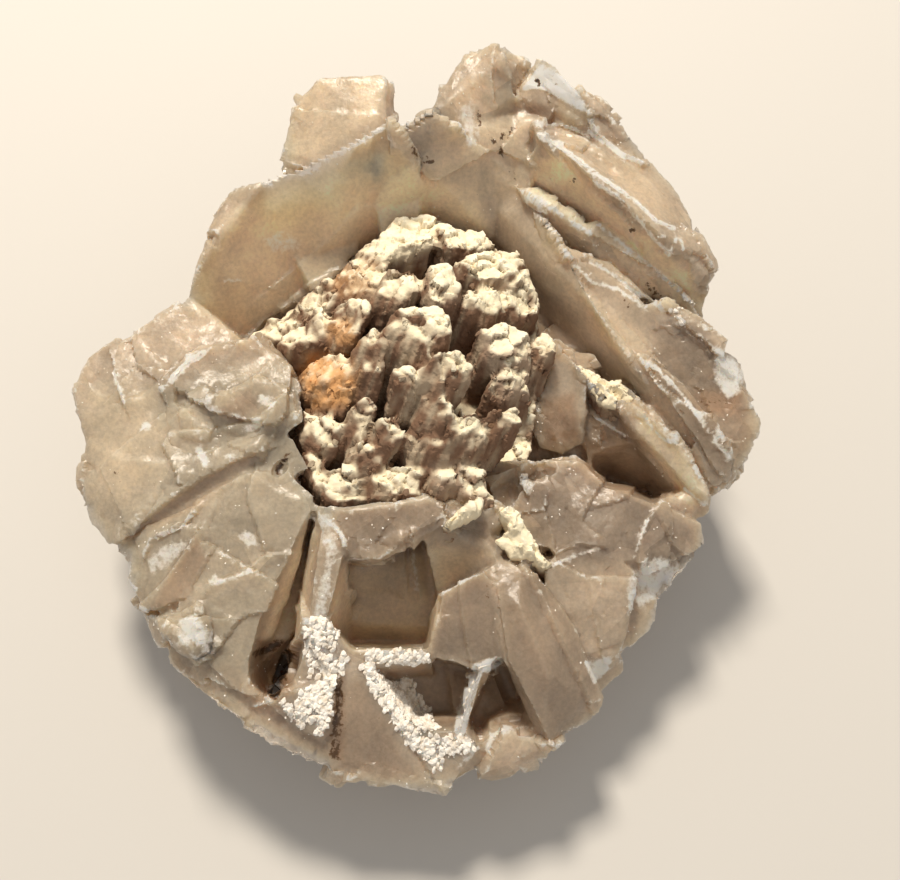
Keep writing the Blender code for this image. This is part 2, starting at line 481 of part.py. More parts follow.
def fragment(name, corners, home, chance):
    """One broken column of the core: its top was seen, and its shaft leans down to the lower left."""
    rim = [seen(c) for c in corners]
    middle = middle_of(rim)
    shaft = FRAGMENT_LEAN + Vector((chance.uniform(-0.12, 0.12), chance.uniform(-0.12, 0.12), 0))
    depth = max(middle.z - FRAGMENT_FOOT, FRAGMENT_SHORTEST)
    points = [middle + (middle - EYE).normalized() * -chance.uniform(0.2, 0.7) * MM]
    for p in rim:
        points.append(p.lerp(middle, 0.18) + Vector((0, 0, chance.uniform(0.1, 0.5) * MM)))
        points.append(p + shaft * FRAGMENT_BEVEL * chance.uniform(0.6, 1.8))
        points.append(p.lerp(middle, FRAGMENT_TAPER) + shaft * depth)
    return helper(hull(name, points, home))


def boolean(target, operation, operand):
    """Joins or cuts with one object, or with every object of a collection."""
    step = target.modifiers.new(operation.lower(), "BOOLEAN")
    step.operation = operation
    step.solver = "EXACT"
    if isinstance(operand, bpy.types.Collection):
        step.operand_type = "COLLECTION"
        step.collection = operand
    else:
        step.object = operand
    return step


def settled(target):
    """The object with its modifiers worked out and its mesh tidied."""
    graph = bpy.context.evaluated_depsgraph_get()
    mesh = bpy.data.meshes.new_from_object(target.evaluated_get(graph))
    target.modifiers.clear()
    target.data = mesh
    shape = bmesh.new()
    shape.from_mesh(mesh)
    bmesh.ops.remove_doubles(shape, verts=shape.verts, dist=0.001 * MM)
    keep_largest(shape)
    bmesh.ops.triangulate(shape, faces=shape.faces)
    shape.to_mesh(mesh)
    shape.free()
    return target


def keep_largest(shape):
    """Drops chips that a cut has set loose, so that one body is left."""
    unseen = set(shape.faces)
    bodies = []
    while unseen:
        start = unseen.pop()
        body, edge = {start}, [start]
        while edge:
            for e in edge.pop().edges:
                for f in e.link_faces:
                    if f in unseen:
                        unseen.remove(f)
                        body.add(f)
                        edge.append(f)
        bodies.append(body)
    bodies.sort(key=len)
    loose = [f for body in bodies[:-1] for f in body]
    if loose:
        bmesh.ops.delete(shape, geom=loose, context="FACES")


def room_for(piece, home):
    """The same solid with a narrow gap all round, to hollow out the stone for it."""
    corners = [v.co.copy() for v in piece.data.vertices]
    return helper(hull(piece.name + " room", widened(corners, CORE_GAP), home))


def build_core(specimen, rooms):
    chance = random.Random(CORE_SEED)
    core = core_seat(specimen)
    room_for(core, rooms)
    pieces = collection("core fragments")
    for name, corners in FRAGMENTS.items():
        room_for(fragment(name, corners, pieces, chance), rooms)
    boolean(core, "UNION", pieces)
    core.data.materials.append(stone_material("cream matrix", CREAM_COLOUR, 0.95))
    return settled(core)


def build_chalcedony(specimen, rooms):
    chance = random.Random(BLADE_SEED)
    stone = body(specimen, chance)
    blades = collection("blades")
    for group in (WALL, CREST, RIGHT, NEAR, FACE):
        for name, corners in group.items():
            blade(name, corners, blades)
    for name, corners in PARTITIONS.items():
        upright_blade(name, corners, PARTITION_DEPTH, blades)
    for i in range(RIB_COUNT):
        rib(i, blades, chance)
    plate("fin", FIN, FIN_THICKNESS, blades)
    wells = collection("wells")
    for name, (rim, floor) in WELLS.items():
        well_cutter(name, rim, floor, wells)
    lumps = collection("caught lumps")
    for name, corners in CAUGHT.items():
        upright_blade(name, corners, CAUGHT_DEPTH, lumps)
    boolean(stone, "UNION", blades)
    boolean(stone, "DIFFERENCE", wells)
    boolean(stone, "UNION", lumps)
    boolean(stone, "DIFFERENCE", rooms)
    stone.data.materials.append(stone_material("chalcedony", CHALCEDONY_COLOUR, 0.35))
    return settled(stone)


def main():
    clear_scene()
    specimen = collection("chalcedony specimen")
    rooms = collection("core rooms")
    build_core(specimen, rooms)
    build_chalcedony(specimen, rooms)


main()
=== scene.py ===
import math

import bmesh
import bpy
import numpy as np
from mathutils import Matrix, Vector
from mathutils.bvhtree import BVHTree
from mathutils.kdtree import KDTree


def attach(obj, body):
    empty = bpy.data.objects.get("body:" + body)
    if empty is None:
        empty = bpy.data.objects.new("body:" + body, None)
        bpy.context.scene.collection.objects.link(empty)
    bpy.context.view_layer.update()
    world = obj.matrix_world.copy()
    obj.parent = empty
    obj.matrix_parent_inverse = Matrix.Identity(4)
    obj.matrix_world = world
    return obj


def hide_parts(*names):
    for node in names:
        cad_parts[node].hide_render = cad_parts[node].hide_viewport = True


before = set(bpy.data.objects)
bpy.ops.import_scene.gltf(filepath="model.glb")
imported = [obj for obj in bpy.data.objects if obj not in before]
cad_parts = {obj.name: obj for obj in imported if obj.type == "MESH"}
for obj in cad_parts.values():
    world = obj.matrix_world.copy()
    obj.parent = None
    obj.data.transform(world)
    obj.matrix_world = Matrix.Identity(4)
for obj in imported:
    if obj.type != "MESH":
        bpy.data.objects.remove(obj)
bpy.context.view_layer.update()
mm = 0.001

# the camera that the traced places belong to: pixels of a 900 x 880 picture
sight = {
    "focal": 925.9,
    "centreX": 450,
    "centreY": 440,
    "eye": Vector((1.0, -34.6, 87.6)) * mm,
    "heading": math.radians(-3.14),
    "tilt": math.radians(24.5),
    "roll": math.radians(2.6),
}
sightAxes = (Matrix.Rotation(sight["heading"], 3, "Z") @ Matrix.Rotation(sight["tilt"], 3, "X")
             @ Matrix.Rotation(sight["roll"], 3, "Z"))
heart = np.array((0.0, 0.0, 3.0)) * mm


# Sums over arrays of points.

def toPixels(points):
    local = (points - np.array(sight["eye"])) @ np.array(sightAxes)
    return np.stack((sight["centreX"] + sight["focal"] * local[:, 0] / -local[:, 2],
                     sight["centreY"] - sight["focal"] * local[:, 1] / -local[:, 2]), axis=1)


def tracedPlace(across, down, height):
    # the real place of a traced pixel at its height in millimetres
    line = sightAxes @ Vector(((across - sight["centreX"]) / sight["focal"],
                               (sight["centreY"] - down) / sight["focal"], -1.0))
    return sight["eye"] + line * ((height * mm - sight["eye"].z) / line.z)


def ramp(value, low, high):
    t = np.clip((value - low) / (high - low), 0, 1)
    return t * t * (3 - 2 * t)


def unit(vectors):
    return vectors / np.maximum(np.linalg.norm(vectors, axis=-1, keepdims=True), 1e-12)


def lattice(cells, seed):
    # a repeatable number from 0 to 1 for each whole-number cell
    a = cells.astype(np.int64)
    h = a[..., 0] * 374761393 + a[..., 1] * 668265263 + a[..., 2] * 2147483647 + seed * 1274126177
    h = (h ^ (h >> 13)) * 1274126177
    h = h ^ (h >> 16)
    return (h & 0xFFFFF) / float(0xFFFFF)


def softNoise(points, size, seed):
    p = points / size
    base = np.floor(p)
    f = p - base
    f = f * f * (3 - 2 * f)
    total = 0
    for dx in (0, 1):
        for dy in (0, 1):
            for dz in (0, 1):
                weight = (np.abs(1 - dx - f[:, 0]) * np.abs(1 - dy - f[:, 1]) * np.abs(1 - dz - f[:, 2]))
                total = total + weight * lattice(base + (dx, dy, dz), seed)
    return total * 2 - 1


def layeredNoise(points, size, seed, layers=3):
    total, strength = 0, 1.0
    for i in range(layers):
        total = total + softNoise(points, size / 2 ** i, seed + 17 * i) * strength
        strength *= 0.5
    return total


def brokenCells(points, size, seed):
    # nearest and second nearest of one random point in each cell, the cell's number, and the way from it
    p = points / size
    base = np.floor(p)
    near = np.full(len(p), 9.0)
    second = np.full(len(p), 9.0)
    number = np.zeros(len(p))
    offset = np.zeros_like(p)
    for dx in (-1, 0, 1):
        for dy in (-1, 0, 1):
            for dz in (-1, 0, 1):
                cell = base + (dx, dy, dz)
                spot = cell + np.stack([lattice(cell, seed + k) for k in (1, 2, 3)], axis=1)
                away = p - spot
                far = np.sqrt((away ** 2).sum(1))
                closer = far < near
                second = np.where(closer, near, np.minimum(second, far))
                near = np.where(closer, far, near)
                number = np.where(closer, lattice(cell, seed + 7), number)
                offset = np.where(closer[:, None], away, offset)
    return near, second, number, offset


def flakeScars(points, size, seed):
    # each cell is one flat scar with its own tilt, so its edges are small steps
    _, _, number, offset = brokenCells(points, size, seed)
    tilt = np.stack([np.sin(number * k) for k in (91.7, 57.3, 133.1)], axis=1)
    return (offset * tilt).sum(1) + (number - 0.5) * 0.8


def stretched(points, direction, share):
    # squeezes places along a direction, so that a pattern on them comes out long that way
    along = (points * direction).sum(1, keepdims=True)
    return points - direction * along * (1 - share)


def distanceToLine(pixels, corners):
    # distance, and on which side of the line: positive is right of its run in the picture
    best = np.full(len(pixels), 1e9)
    side = np.zeros(len(pixels))
    for (ax, ay), (bx, by) in zip(corners[:-1], corners[1:]):
        a = np.array((ax, ay), float)
        run = np.array((bx, by), float) - a
        t = np.clip(((pixels - a) @ run) / max(run @ run, 1e-9), 0, 1)
        gap = pixels - a - t[:, None] * run
        far = np.hypot(gap[:, 0], gap[:, 1])
        closer = far < best
        best = np.where(closer, far, best)
        side = np.where(closer, np.sign(run[0] * gap[:, 1] - run[1] * gap[:, 0]), side)
    return best, side


def insideOf(pixels, corners):
    # how many pixels a place is inside a patch: negative outside it
    inside = np.zeros(len(pixels), bool)
    ring = list(corners) + [corners[0]]
    for (ax, ay), (bx, by) in zip(ring[:-1], ring[1:]):
        if by != ay:
            crosses = (ay > pixels[:, 1]) != (by > pixels[:, 1])
            inside ^= crosses & (pixels[:, 0] < (bx - ax) * (pixels[:, 1] - ay) / (by - ay) + ax)
    edge, _ = distanceToLine(pixels, ring)
    return np.where(inside, edge, -edge)


def lineMask(pixels, strokes):
    # strokes: name -> (half width in pixels, strength, corners)
    mask = np.zeros(len(pixels))
    for width, strength, corners in strokes.values():
        mask = np.maximum(mask, strength * (1 - ramp(distanceToLine(pixels, corners)[0], width * 0.4, width)))
    return mask


def patchMask(pixels, patches):
    # patches: name -> (soft edge in pixels, strength, corners)
    mask = np.zeros(len(pixels))
    for soft, strength, corners in patches.values():
        mask = np.maximum(mask, strength * ramp(insideOf(pixels, corners), -soft, soft))
    return mask


def stepRelief(pixels, steps):
    # steps: name -> (rise in mm, fade in pixels, corners): full height just right of the line, fading away
    height = np.zeros(len(pixels))
    for rise, fade, corners in steps.values():
        far, side = distanceToLine(pixels, corners)
        height += rise * ramp(side * far, -1.2, 1.2) * np.clip(1 - far / fade, 0, 1)
    return height * mm


def raisedRelief(pixels, plates):
    # plates: name -> (rise in mm, soft edge in pixels, corners)
    height = np.zeros(len(pixels))
    for rise, soft, corners in plates.values():
        height += rise * ramp(insideOf(pixels, corners), -soft, soft)
    return height * mm


# Steps that work on a whole mesh.

def mergedCopy(nodeName, name):
    made = bpy.data.objects.new(name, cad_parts[nodeName].data.copy())
    bpy.context.scene.collection.objects.link(made)
    made.data.materials.clear()
    shape = bmesh.new()
    shape.from_mesh(made.data)
    bmesh.ops.remove_doubles(shape, verts=shape.verts, dist=0.001 * mm)
    shape.to_mesh(made.data)
    shape.free()
    return made


def tracedLump(name, corners, depth, swell):
    # a closed lump under a traced top, a little larger than the plain one
    crown = [tracedPlace(*corner) for corner in corners]
    middle = sum(crown, Vector()) / len(crown)
    crown = [p + (p - middle).normalized() * swell for p in crown] + [middle + Vector((0, 0, swell * 2))]
    shape = bmesh.new()
    for p in crown + [p - Vector((0, 0, depth)) for p in crown]:
        shape.verts.new(p)
    made = bmesh.ops.convex_hull(shape, input=shape.verts)
    loose = {v for v in made["geom_interior"] + made["geom_unused"] if isinstance(v, bmesh.types.BMVert)}
    bmesh.ops.delete(shape, geom=list(loose), context="VERTS")
    bmesh.ops.recalc_face_normals(shape, faces=shape.faces)
    mesh = bpy.data.meshes.new(name)
    shape.to_mesh(mesh)
    shape.free()
    made = bpy.data.objects.new(name, mesh)
    bpy.context.scene.collection.objects.link(made)
    return made


def joined(pieces, name):
    mesh = bpy.data.meshes.new(name)
    shape = bmesh.new()
    for piece in pieces:
        shape.from_mesh(piece.data)
    shape.to_mesh(mesh)
    shape.free()
    made = bpy.data.objects.new(name, mesh)
    bpy.context.scene.collection.objects.link(made)
    for piece in pieces:
        bpy.data.objects.remove(piece)
    return made


def settle(piece):
    # works out the modifiers and leaves a plain mesh
    graph = bpy.context.evaluated_depsgraph_get()
    mesh = bpy.data.meshes.new_from_object(piece.evaluated_get(graph))
    piece.modifiers.clear()
    piece.data = mesh
    mesh.name = piece.name
    return piece


def voxelSkin(piece, voxel):
    step = piece.modifiers.new("skin", "REMESH")
    step.mode = "VOXEL"
    step.voxel_size = voxel
    step.adaptivity = 0.0
    return settle(piece)


def thinned(piece, triangles, keep, pull):
    # fewer triangles, most of them taken where the keep mask is low
    piece.data.calc_loop_triangles()
    share = triangles / len(piece.data.loop_triangles)
    if share < 1:
        group = piece.vertex_groups.new(name="keep")
        for level in range(1, 11):
            chosen = np.nonzero(np.round(keep * 10) == level)[0]
            group.add(chosen.tolist(), level / 10, "REPLACE")
        step = piece.modifiers.new("thin", "DECIMATE")
        step.ratio = share
        step.vertex_group = "keep"
        step.invert_vertex_group = True
        step.vertex_group_factor = pull
        settle(piece)
        piece.vertex_groups.clear()
    return piece


def placesOf(mesh):
    flat = np.zeros(len(mesh.vertices) * 3, np.float32)
    mesh.vertices.foreach_get("co", flat)
    return flat.reshape(-1, 3).astype(float)


def normalsOf(mesh):
    flat = np.zeros(len(mesh.vertices) * 3, np.float32)
    mesh.vertex_normals.foreach_get("vector", flat)
    return flat.reshape(-1, 3).astype(float)


def setPlaces(mesh, points):
    mesh.vertices.foreach_set("co", points.astype(np.float32).ravel())
    mesh.update()


def edgesOf(mesh):
    flat = np.zeros(len(mesh.edges) * 2, np.int32)
    mesh.edges.foreach_get("vertices", flat)
    return flat.reshape(-1, 2)


def blurred(values, edges, times):
    count = np.maximum(np.bincount(edges.ravel(), minlength=len(values)), 1).astype(float)
    if values.ndim > 1:
        return np.stack([blurred(values[:, k], edges, times) for k in range(values.shape[1])], axis=1)
    for _ in range(times):
        total = (np.bincount(edges[:, 0], values[edges[:, 1]], len(values))
                 + np.bincount(edges[:, 1], values[edges[:, 0]], len(values)))
        values = (values + total / count) / 2
    return values


def roundness(points, normals, edges, times):
    # positive on ridges and rims, negative in cracks, in millimetres
    return ((points - blurred(points, edges, times)) * normals).sum(1) / mm


def treeOf(mesh):
    return BVHTree.FromPolygons([v.co for v in mesh.vertices], [p.vertices for p in mesh.polygons])


def seenFromEye(tree, points, normals, edges):
    eye = sight["eye"]
    towards = ((np.array(eye) - points) * normals).sum(1) > 0
    seen = np.zeros(len(points))
    for i in np.nonzero(towards)[0]:
        start = Vector(points[i] + normals[i] * 0.3 * mm)
        seen[i] = tree.ray_cast(start, eye - start, 0.2)[0] is None
    return blurred(seen, edges, 2)


def thickness(tree, points, normals, most):
    # how far the stone goes on below each point
    deep = np.full(len(points), most)
    for i in range(len(points)):
        down = Vector(-normals[i])
        far = tree.ray_cast(Vector(points[i]) + down * 0.05 * mm, down, most)[3]
        if far is not None:
            deep[i] = far
    return deep


def skyField(nodeNames, spacing, reach, rays):
    # how much open sky each place of a coarse skin sees
    coarse = [voxelSkin(mergedCopy(n, n + "_coarse"), spacing) for n in nodeNames]
    verts, faces = [], []
    for piece in coarse:
        base = len(verts)
        verts += [v.co.copy() for v in piece.data.vertices]
        faces += [[i + base for i in p.vertices] for p in piece.data.polygons]
    tree = BVHTree.FromPolygons(verts, faces)
    directions = []
    for k in range(rays):
        z = (k + 0.5) / rays
        flat = math.sqrt(1 - z * z)
        directions.append(Vector((flat * math.cos(k * 2.39996), flat * math.sin(k * 2.39996), z)))
    finder = KDTree(len(verts))
    shares = []
    for piece in coarse:
        for v in piece.data.vertices:
            start = v.co + v.normal * spacing * 0.6
            shares.append(sum(tree.ray_cast(start, d, reach)[0] is None for d in directions) / rays)
            finder.insert(v.co, len(shares) - 1)
    finder.balance()
    for piece in coarse:
        bpy.data.objects.remove(piece)
    return finder, np.array(shares)


def skyShare(field, points):
    finder, shares = field
    return np.array([shares[[i for _, i, _ in finder.find_n(Vector(p), 3)]].mean() for p in points])


def saveMask(mesh, name, values):
    layer = mesh.attributes.new(name, "FLOAT", "POINT")
    layer.data.foreach_set("value", np.clip(values, 0, 1).astype(np.float32))


def saveDirection(mesh, name, vectors):
    layer = mesh.attributes.new(name, "FLOAT_VECTOR", "POINT")
    layer.data.foreach_set("vector", vectors.astype(np.float32).ravel())


# Shader groups that both stones use.

def newGroup(name, inputs, outputs):
    group = bpy.data.node_groups.new(name, "ShaderNodeTree")
    for label, default in inputs:
        group.interface.new_socket(label, in_out="INPUT", socket_type="NodeSocketFloat").default_value = default
    for label in outputs:
        group.interface.new_socket(label, in_out="OUTPUT", socket_type="NodeSocketFloat")
    return group, group.nodes.new("NodeGroupInput"), group.nodes.new("NodeGroupOutput")


def buildCloudGroup():
    # two sizes of soft clouding on object coordinates, sizes in millimetres
    group, start, end = newGroup("mineral clouding", [("Size", 3.0), ("Fine", 0.5)], ["Cloud", "Speckle"])
    place = group.nodes.new("ShaderNodeTexCoord")
    for output, size in (("Cloud", "Size"), ("Speckle", "Fine")):
        scale = group.nodes.new("ShaderNodeMath")
        scale.operation = "DIVIDE"
        scale.inputs[0].default_value = 1000.0
        cloud = group.nodes.new("ShaderNodeTexNoise")
        cloud.inputs["Detail"].default_value = 2.0
        cloud.inputs["Roughness"].default_value = 0.6
        group.links.new(start.outputs[size], scale.inputs[1])
        group.links.new(scale.outputs[0], cloud.inputs["Scale"])
        group.links.new(place.outputs["Object"], cloud.inputs["Vector"])
        group.links.new(cloud.outputs["Fac"], end.inputs[output])
    return group


def buildGrainGroup():
    # height of a fine broken grain, for a bump
    group, start, end = newGroup("broken grain", [("Size", 0.4), ("Pits", 0.5)], ["Height"])
    place = group.nodes.new("ShaderNodeTexCoord")
    scale = group.nodes.new("ShaderNodeMath")
    scale.operation = "DIVIDE"
    scale.inputs[0].default_value = 1000.0
    noise = group.nodes.new("ShaderNodeTexNoise")
    noise.inputs["Detail"].default_value = 2.0
    noise.inputs["Roughness"].default_value = 0.7
    cells = group.nodes.new("ShaderNodeTexVoronoi")
    mix = group.nodes.new("ShaderNodeMix")
    group.links.new(start.outputs["Size"], scale.inputs[1])
    for texture in (noise, cells):
        group.links.new(scale.outputs[0], texture.inputs["Scale"])
        group.links.new(place.outputs["Object"], texture.inputs["Vector"])
    group.links.new(start.outputs["Pits"], mix.inputs["Factor"])
    group.links.new(noise.outputs["Fac"], mix.inputs[2])
    group.links.new(cells.outputs["Distance"], mix.inputs[3])
    group.links.new(mix.outputs[0], end.inputs["Height"])
    return group


def buildFacetGroup():
    # flat facets drawn out along the growth: a height for a bump and one tone for each facet
    group, start, end = newGroup("splinter facets", [("Size", 1.0), ("Squeeze", 0.4)], ["Height", "Tone"])
    group.interface.new_socket("Run", in_out="INPUT", socket_type="NodeSocketVector")
    link = group.links.new

    def vector(operation, first, second=None, scale=None):
        node = group.nodes.new("ShaderNodeVectorMath")
        node.operation = operation
        for slot, value in ((0, first), (1, second), (3, scale)):
            if isinstance(value, bpy.types.NodeSocket):
                link(value, node.inputs[slot])
            elif value is not None:
                node.inputs[slot].default_value = value
        return node.outputs["Value"] if operation == "DOT_PRODUCT" else node.outputs["Vector"]

    def number(operation, first, second):
        node = group.nodes.new("ShaderNodeMath")
        node.operation = operation
        for socket, value in zip(node.inputs, (first, second)):
            if isinstance(value, bpy.types.NodeSocket):
                link(value, socket)
            else:
                socket.default_value = value
        return node.outputs[0]

    place = group.nodes.new("ShaderNodeTexCoord").outputs["Object"]
    run = start.outputs["Run"]
    along = number("MULTIPLY", vector("DOT_PRODUCT", place, run), number("SUBTRACT", 1.0, start.outputs["Squeeze"]))
    squeezed = vector("SUBTRACT", place, vector("SCALE", run, scale=along))
    spot = vector("SCALE", squeezed, scale=number("DIVIDE", 1000.0, start.outputs["Size"]))
    cells = group.nodes.new("ShaderNodeTexVoronoi")
    cells.inputs["Scale"].default_value = 1.0
    link(spot, cells.inputs["Vector"])
    tilt = vector("SUBTRACT", cells.outputs["Color"], (0.5, 0.5, 0.5))
    slope = vector("DOT_PRODUCT", vector("SUBTRACT", spot, cells.outputs["Position"]), tilt)
    link(number("MULTIPLY", slope, 2.0), end.inputs["Height"])
    link(vector("DOT_PRODUCT", cells.outputs["Color"], (0.5, 0.3, 0.2)), end.inputs["Tone"])
    return group


cloudGroup = buildCloudGroup()
grainGroup = buildGrainGroup()
facetGroup = buildFacetGroup()


def placeGroup(tree, group, **values):
    node = tree.nodes.new("ShaderNodeGroup")
    node.node_tree = group
    for label, value in values.items():
        node.inputs[label].default_value = value
    return node


def mixColour(tree, below, above, factor, mode="MIX"):
    node = tree.nodes.new("ShaderNodeMix")
    node.data_type = "RGBA"
    node.blend_type = mode
    for socket, value in ((node.inputs[6], below), (node.inputs[7], above), (node.inputs[0], factor)):
        if isinstance(value, bpy.types.NodeSocket):
            tree.links.new(value, socket)
        elif isinstance(value, (int, float)):
            socket.default_value = value
        else:
            socket.default_value = (*value, 1)
    return node.outputs[2]


def maskOutput(tree, name):
    node = tree.nodes.new("ShaderNodeAttribute")
    node.attribute_name = name
    return node.outputs["Fac"]


def spread(tree, value, low, high, toLow, toHigh):
    node = tree.nodes.new("ShaderNodeMapRange")
    for i, number in enumerate((low, high, toLow, toHigh)):
        node.inputs[i + 1].default_value = number
    tree.links.new(value, node.inputs[0])
    return node.outputs[0]


def brokenMask(tree, name, noise, share, low, high):
    # a mask whose border is broken up by a noise
    lifted = tree.nodes.new("ShaderNodeMath")
    lifted.operation = "MULTIPLY_ADD"
    tree.links.new(noise, lifted.inputs[0])
    lifted.inputs[1].default_value = share
    tree.links.new(maskOutput(tree, name), lifted.inputs[2])
    return spread(tree, lifted.outputs[0], low + share * 0.5, high + share * 0.5, 0, 1)


def stoneShader(name):
    material = bpy.data.materials.new(name)
    material.use_nodes = True
    return material, material.node_tree, material.node_tree.nodes["Principled BSDF"]


def grainBump(tree, shader, size, pits, distance, strength):
    grain = placeGroup(tree, grainGroup, Size=size, Pits=pits)
    bump = tree.nodes.new("ShaderNodeBump")
    bump.inputs["Distance"].default_value = distance
    bump.inputs["Strength"].default_value = strength
    tree.links.new(grain.outputs["Height"], bump.inputs["Height"])
    tree.links.new(bump.outputs["Normal"], shader.inputs["Normal"])


# A Geometry Nodes tree that scatters broken bits over a stone, where a mask says so.

bitLook = {"shape": (1.0, 0.75, 0.55), "wander": 0.35, "bend": 2600.0}  # bend: how many waves to a metre


def scatterTree(name):
    tree = bpy.data.node_groups.new(name, "GeometryNodeTree")
    add = tree.nodes.new
    link = tree.links.new
    tree.interface.new_socket("Geometry", in_out="INPUT", socket_type="NodeSocketGeometry")
    for label, kind in (("Mask", "String"), ("Density", "Float"), ("Seed", "Int"), ("Small", "Float"),
                        ("Large", "Float"), ("Lean", "Float"), ("Roughen", "Float"), ("Finish", "Material")):
        tree.interface.new_socket(label, in_out="INPUT", socket_type="NodeSocket" + kind)
    tree.interface.new_socket("Geometry", in_out="OUTPUT", socket_type="NodeSocketGeometry")
    start, end = add("NodeGroupInput"), add("NodeGroupOutput")

    def attribute(source, kind):
        node = add("GeometryNodeInputNamedAttribute")
        node.data_type = kind
        if isinstance(source, str):
            node.inputs["Name"].default_value = source
        else:
            link(source, node.inputs["Name"])
        return node.outputs["Attribute"]

    def chance(kind, step, low, high):
        node = add("FunctionNodeRandomValue")
        node.data_type = kind
        shift = add("ShaderNodeMath")
        shift.inputs[1].default_value = step
        link(start.outputs["Seed"], shift.inputs[0])
        link(shift.outputs[0], node.inputs["Seed"])
        sockets = [s for s in node.inputs if s.enabled][:2]
        for socket, value in zip(sockets, (low, high)):
            if isinstance(value, bpy.types.NodeSocket):
                link(value, socket)
            else:
                socket.default_value = value
        return [s for s in node.outputs if s.enabled][0]

    def leaned(first, second, share):
        node = add("ShaderNodeVectorMath")
        node.operation = "MULTIPLY_ADD"
        link(second, node.inputs[0])
        if isinstance(share, bpy.types.NodeSocket):
            link(share, node.inputs[1])
        else:
            node.inputs[1].default_value = (share, share, share)
        link(first, node.inputs[2])
        return node.outputs[0]

    amount = add("ShaderNodeMath")
    amount.operation = "MULTIPLY"
    link(attribute(start.outputs["Mask"], "FLOAT"), amount.inputs[0])
    link(start.outputs["Density"], amount.inputs[1])
    points = add("GeometryNodeDistributePointsOnFaces")
    link(start.outputs["Geometry"], points.inputs["Mesh"])
    link(amount.outputs[0], points.inputs["Density"])
    link(start.outputs["Seed"], points.inputs["Seed"])

    bit = add("GeometryNodeMeshIcoSphere")
    bit.inputs["Radius"].default_value = 0.5
    bit.inputs["Subdivisions"].default_value = 1
    thin = add("GeometryNodeTransform")
    thin.inputs["Scale"].default_value = bitLook["shape"]
    link(bit.outputs["Mesh"], thin.inputs["Geometry"])
    turn = add("FunctionNodeAxesToRotation")
    turn.primary_axis = "Z"
    turn.secondary_axis = "X"
    grow = attribute("grow", "FLOAT_VECTOR")
    wander = chance("FLOAT_VECTOR", 3, (-1.0, -1.0, -1.0), (1.0, 1.0, 1.0))
    link(leaned(points.outputs["Normal"], wander, start.outputs["Lean"]), turn.inputs[0])
    link(leaned(grow, wander, bitLook["wander"]), turn.inputs[1])
    copies = add("GeometryNodeInstanceOnPoints")
    link(points.outputs["Points"], copies.inputs["Points"])
    link(thin.outputs[0], copies.inputs["Instance"])
    link(turn.outputs[0], copies.inputs["Rotation"])
    link(chance("FLOAT", 5, start.outputs["Small"], start.outputs["Large"]), copies.inputs["Scale"])
    solid = add("GeometryNodeRealizeInstances")
    link(copies.outputs[0], solid.inputs[0])
    # every bit is bent out of true by a noise on its own place
    noise = add("ShaderNodeTexNoise")
    noise.inputs["Scale"].default_value = bitLook["bend"]
    noise.inputs["Detail"].default_value = 1.0
    centred = add("ShaderNodeVectorMath")
    centred.operation = "SUBTRACT"
    centred.inputs[1].default_value = (0.5, 0.5, 0.5)
    link(noise.outputs["Color"], centred.inputs[0])
    push = add("ShaderNodeVectorMath")
    push.operation = "SCALE"
    link(centred.outputs[0], push.inputs[0])
    link(start.outputs["Roughen"], push.inputs["Scale"])
    shift = add("GeometryNodeSetPosition")
    link(solid.outputs[0], shift.inputs["Geometry"])
    link(push.outputs[0], shift.inputs["Offset"])
    flat = add("GeometryNodeSetShadeSmooth")
    flat.inputs["Shade Smooth"].default_value = False
    link(shift.outputs[0], flat.inputs[0])
    whole = add("GeometryNodeRealizeInstances")
    link(flat.outputs[0], whole.inputs[0])
    finish = add("GeometryNodeSetMaterial")
    link(whole.outputs[0], finish.inputs["Geometry"])
    link(start.outputs["Finish"], finish.inputs["Material"])
    link(finish.outputs[0], end.inputs[0])
    return tree


print("stage: tools ready")

# The chalcedony.

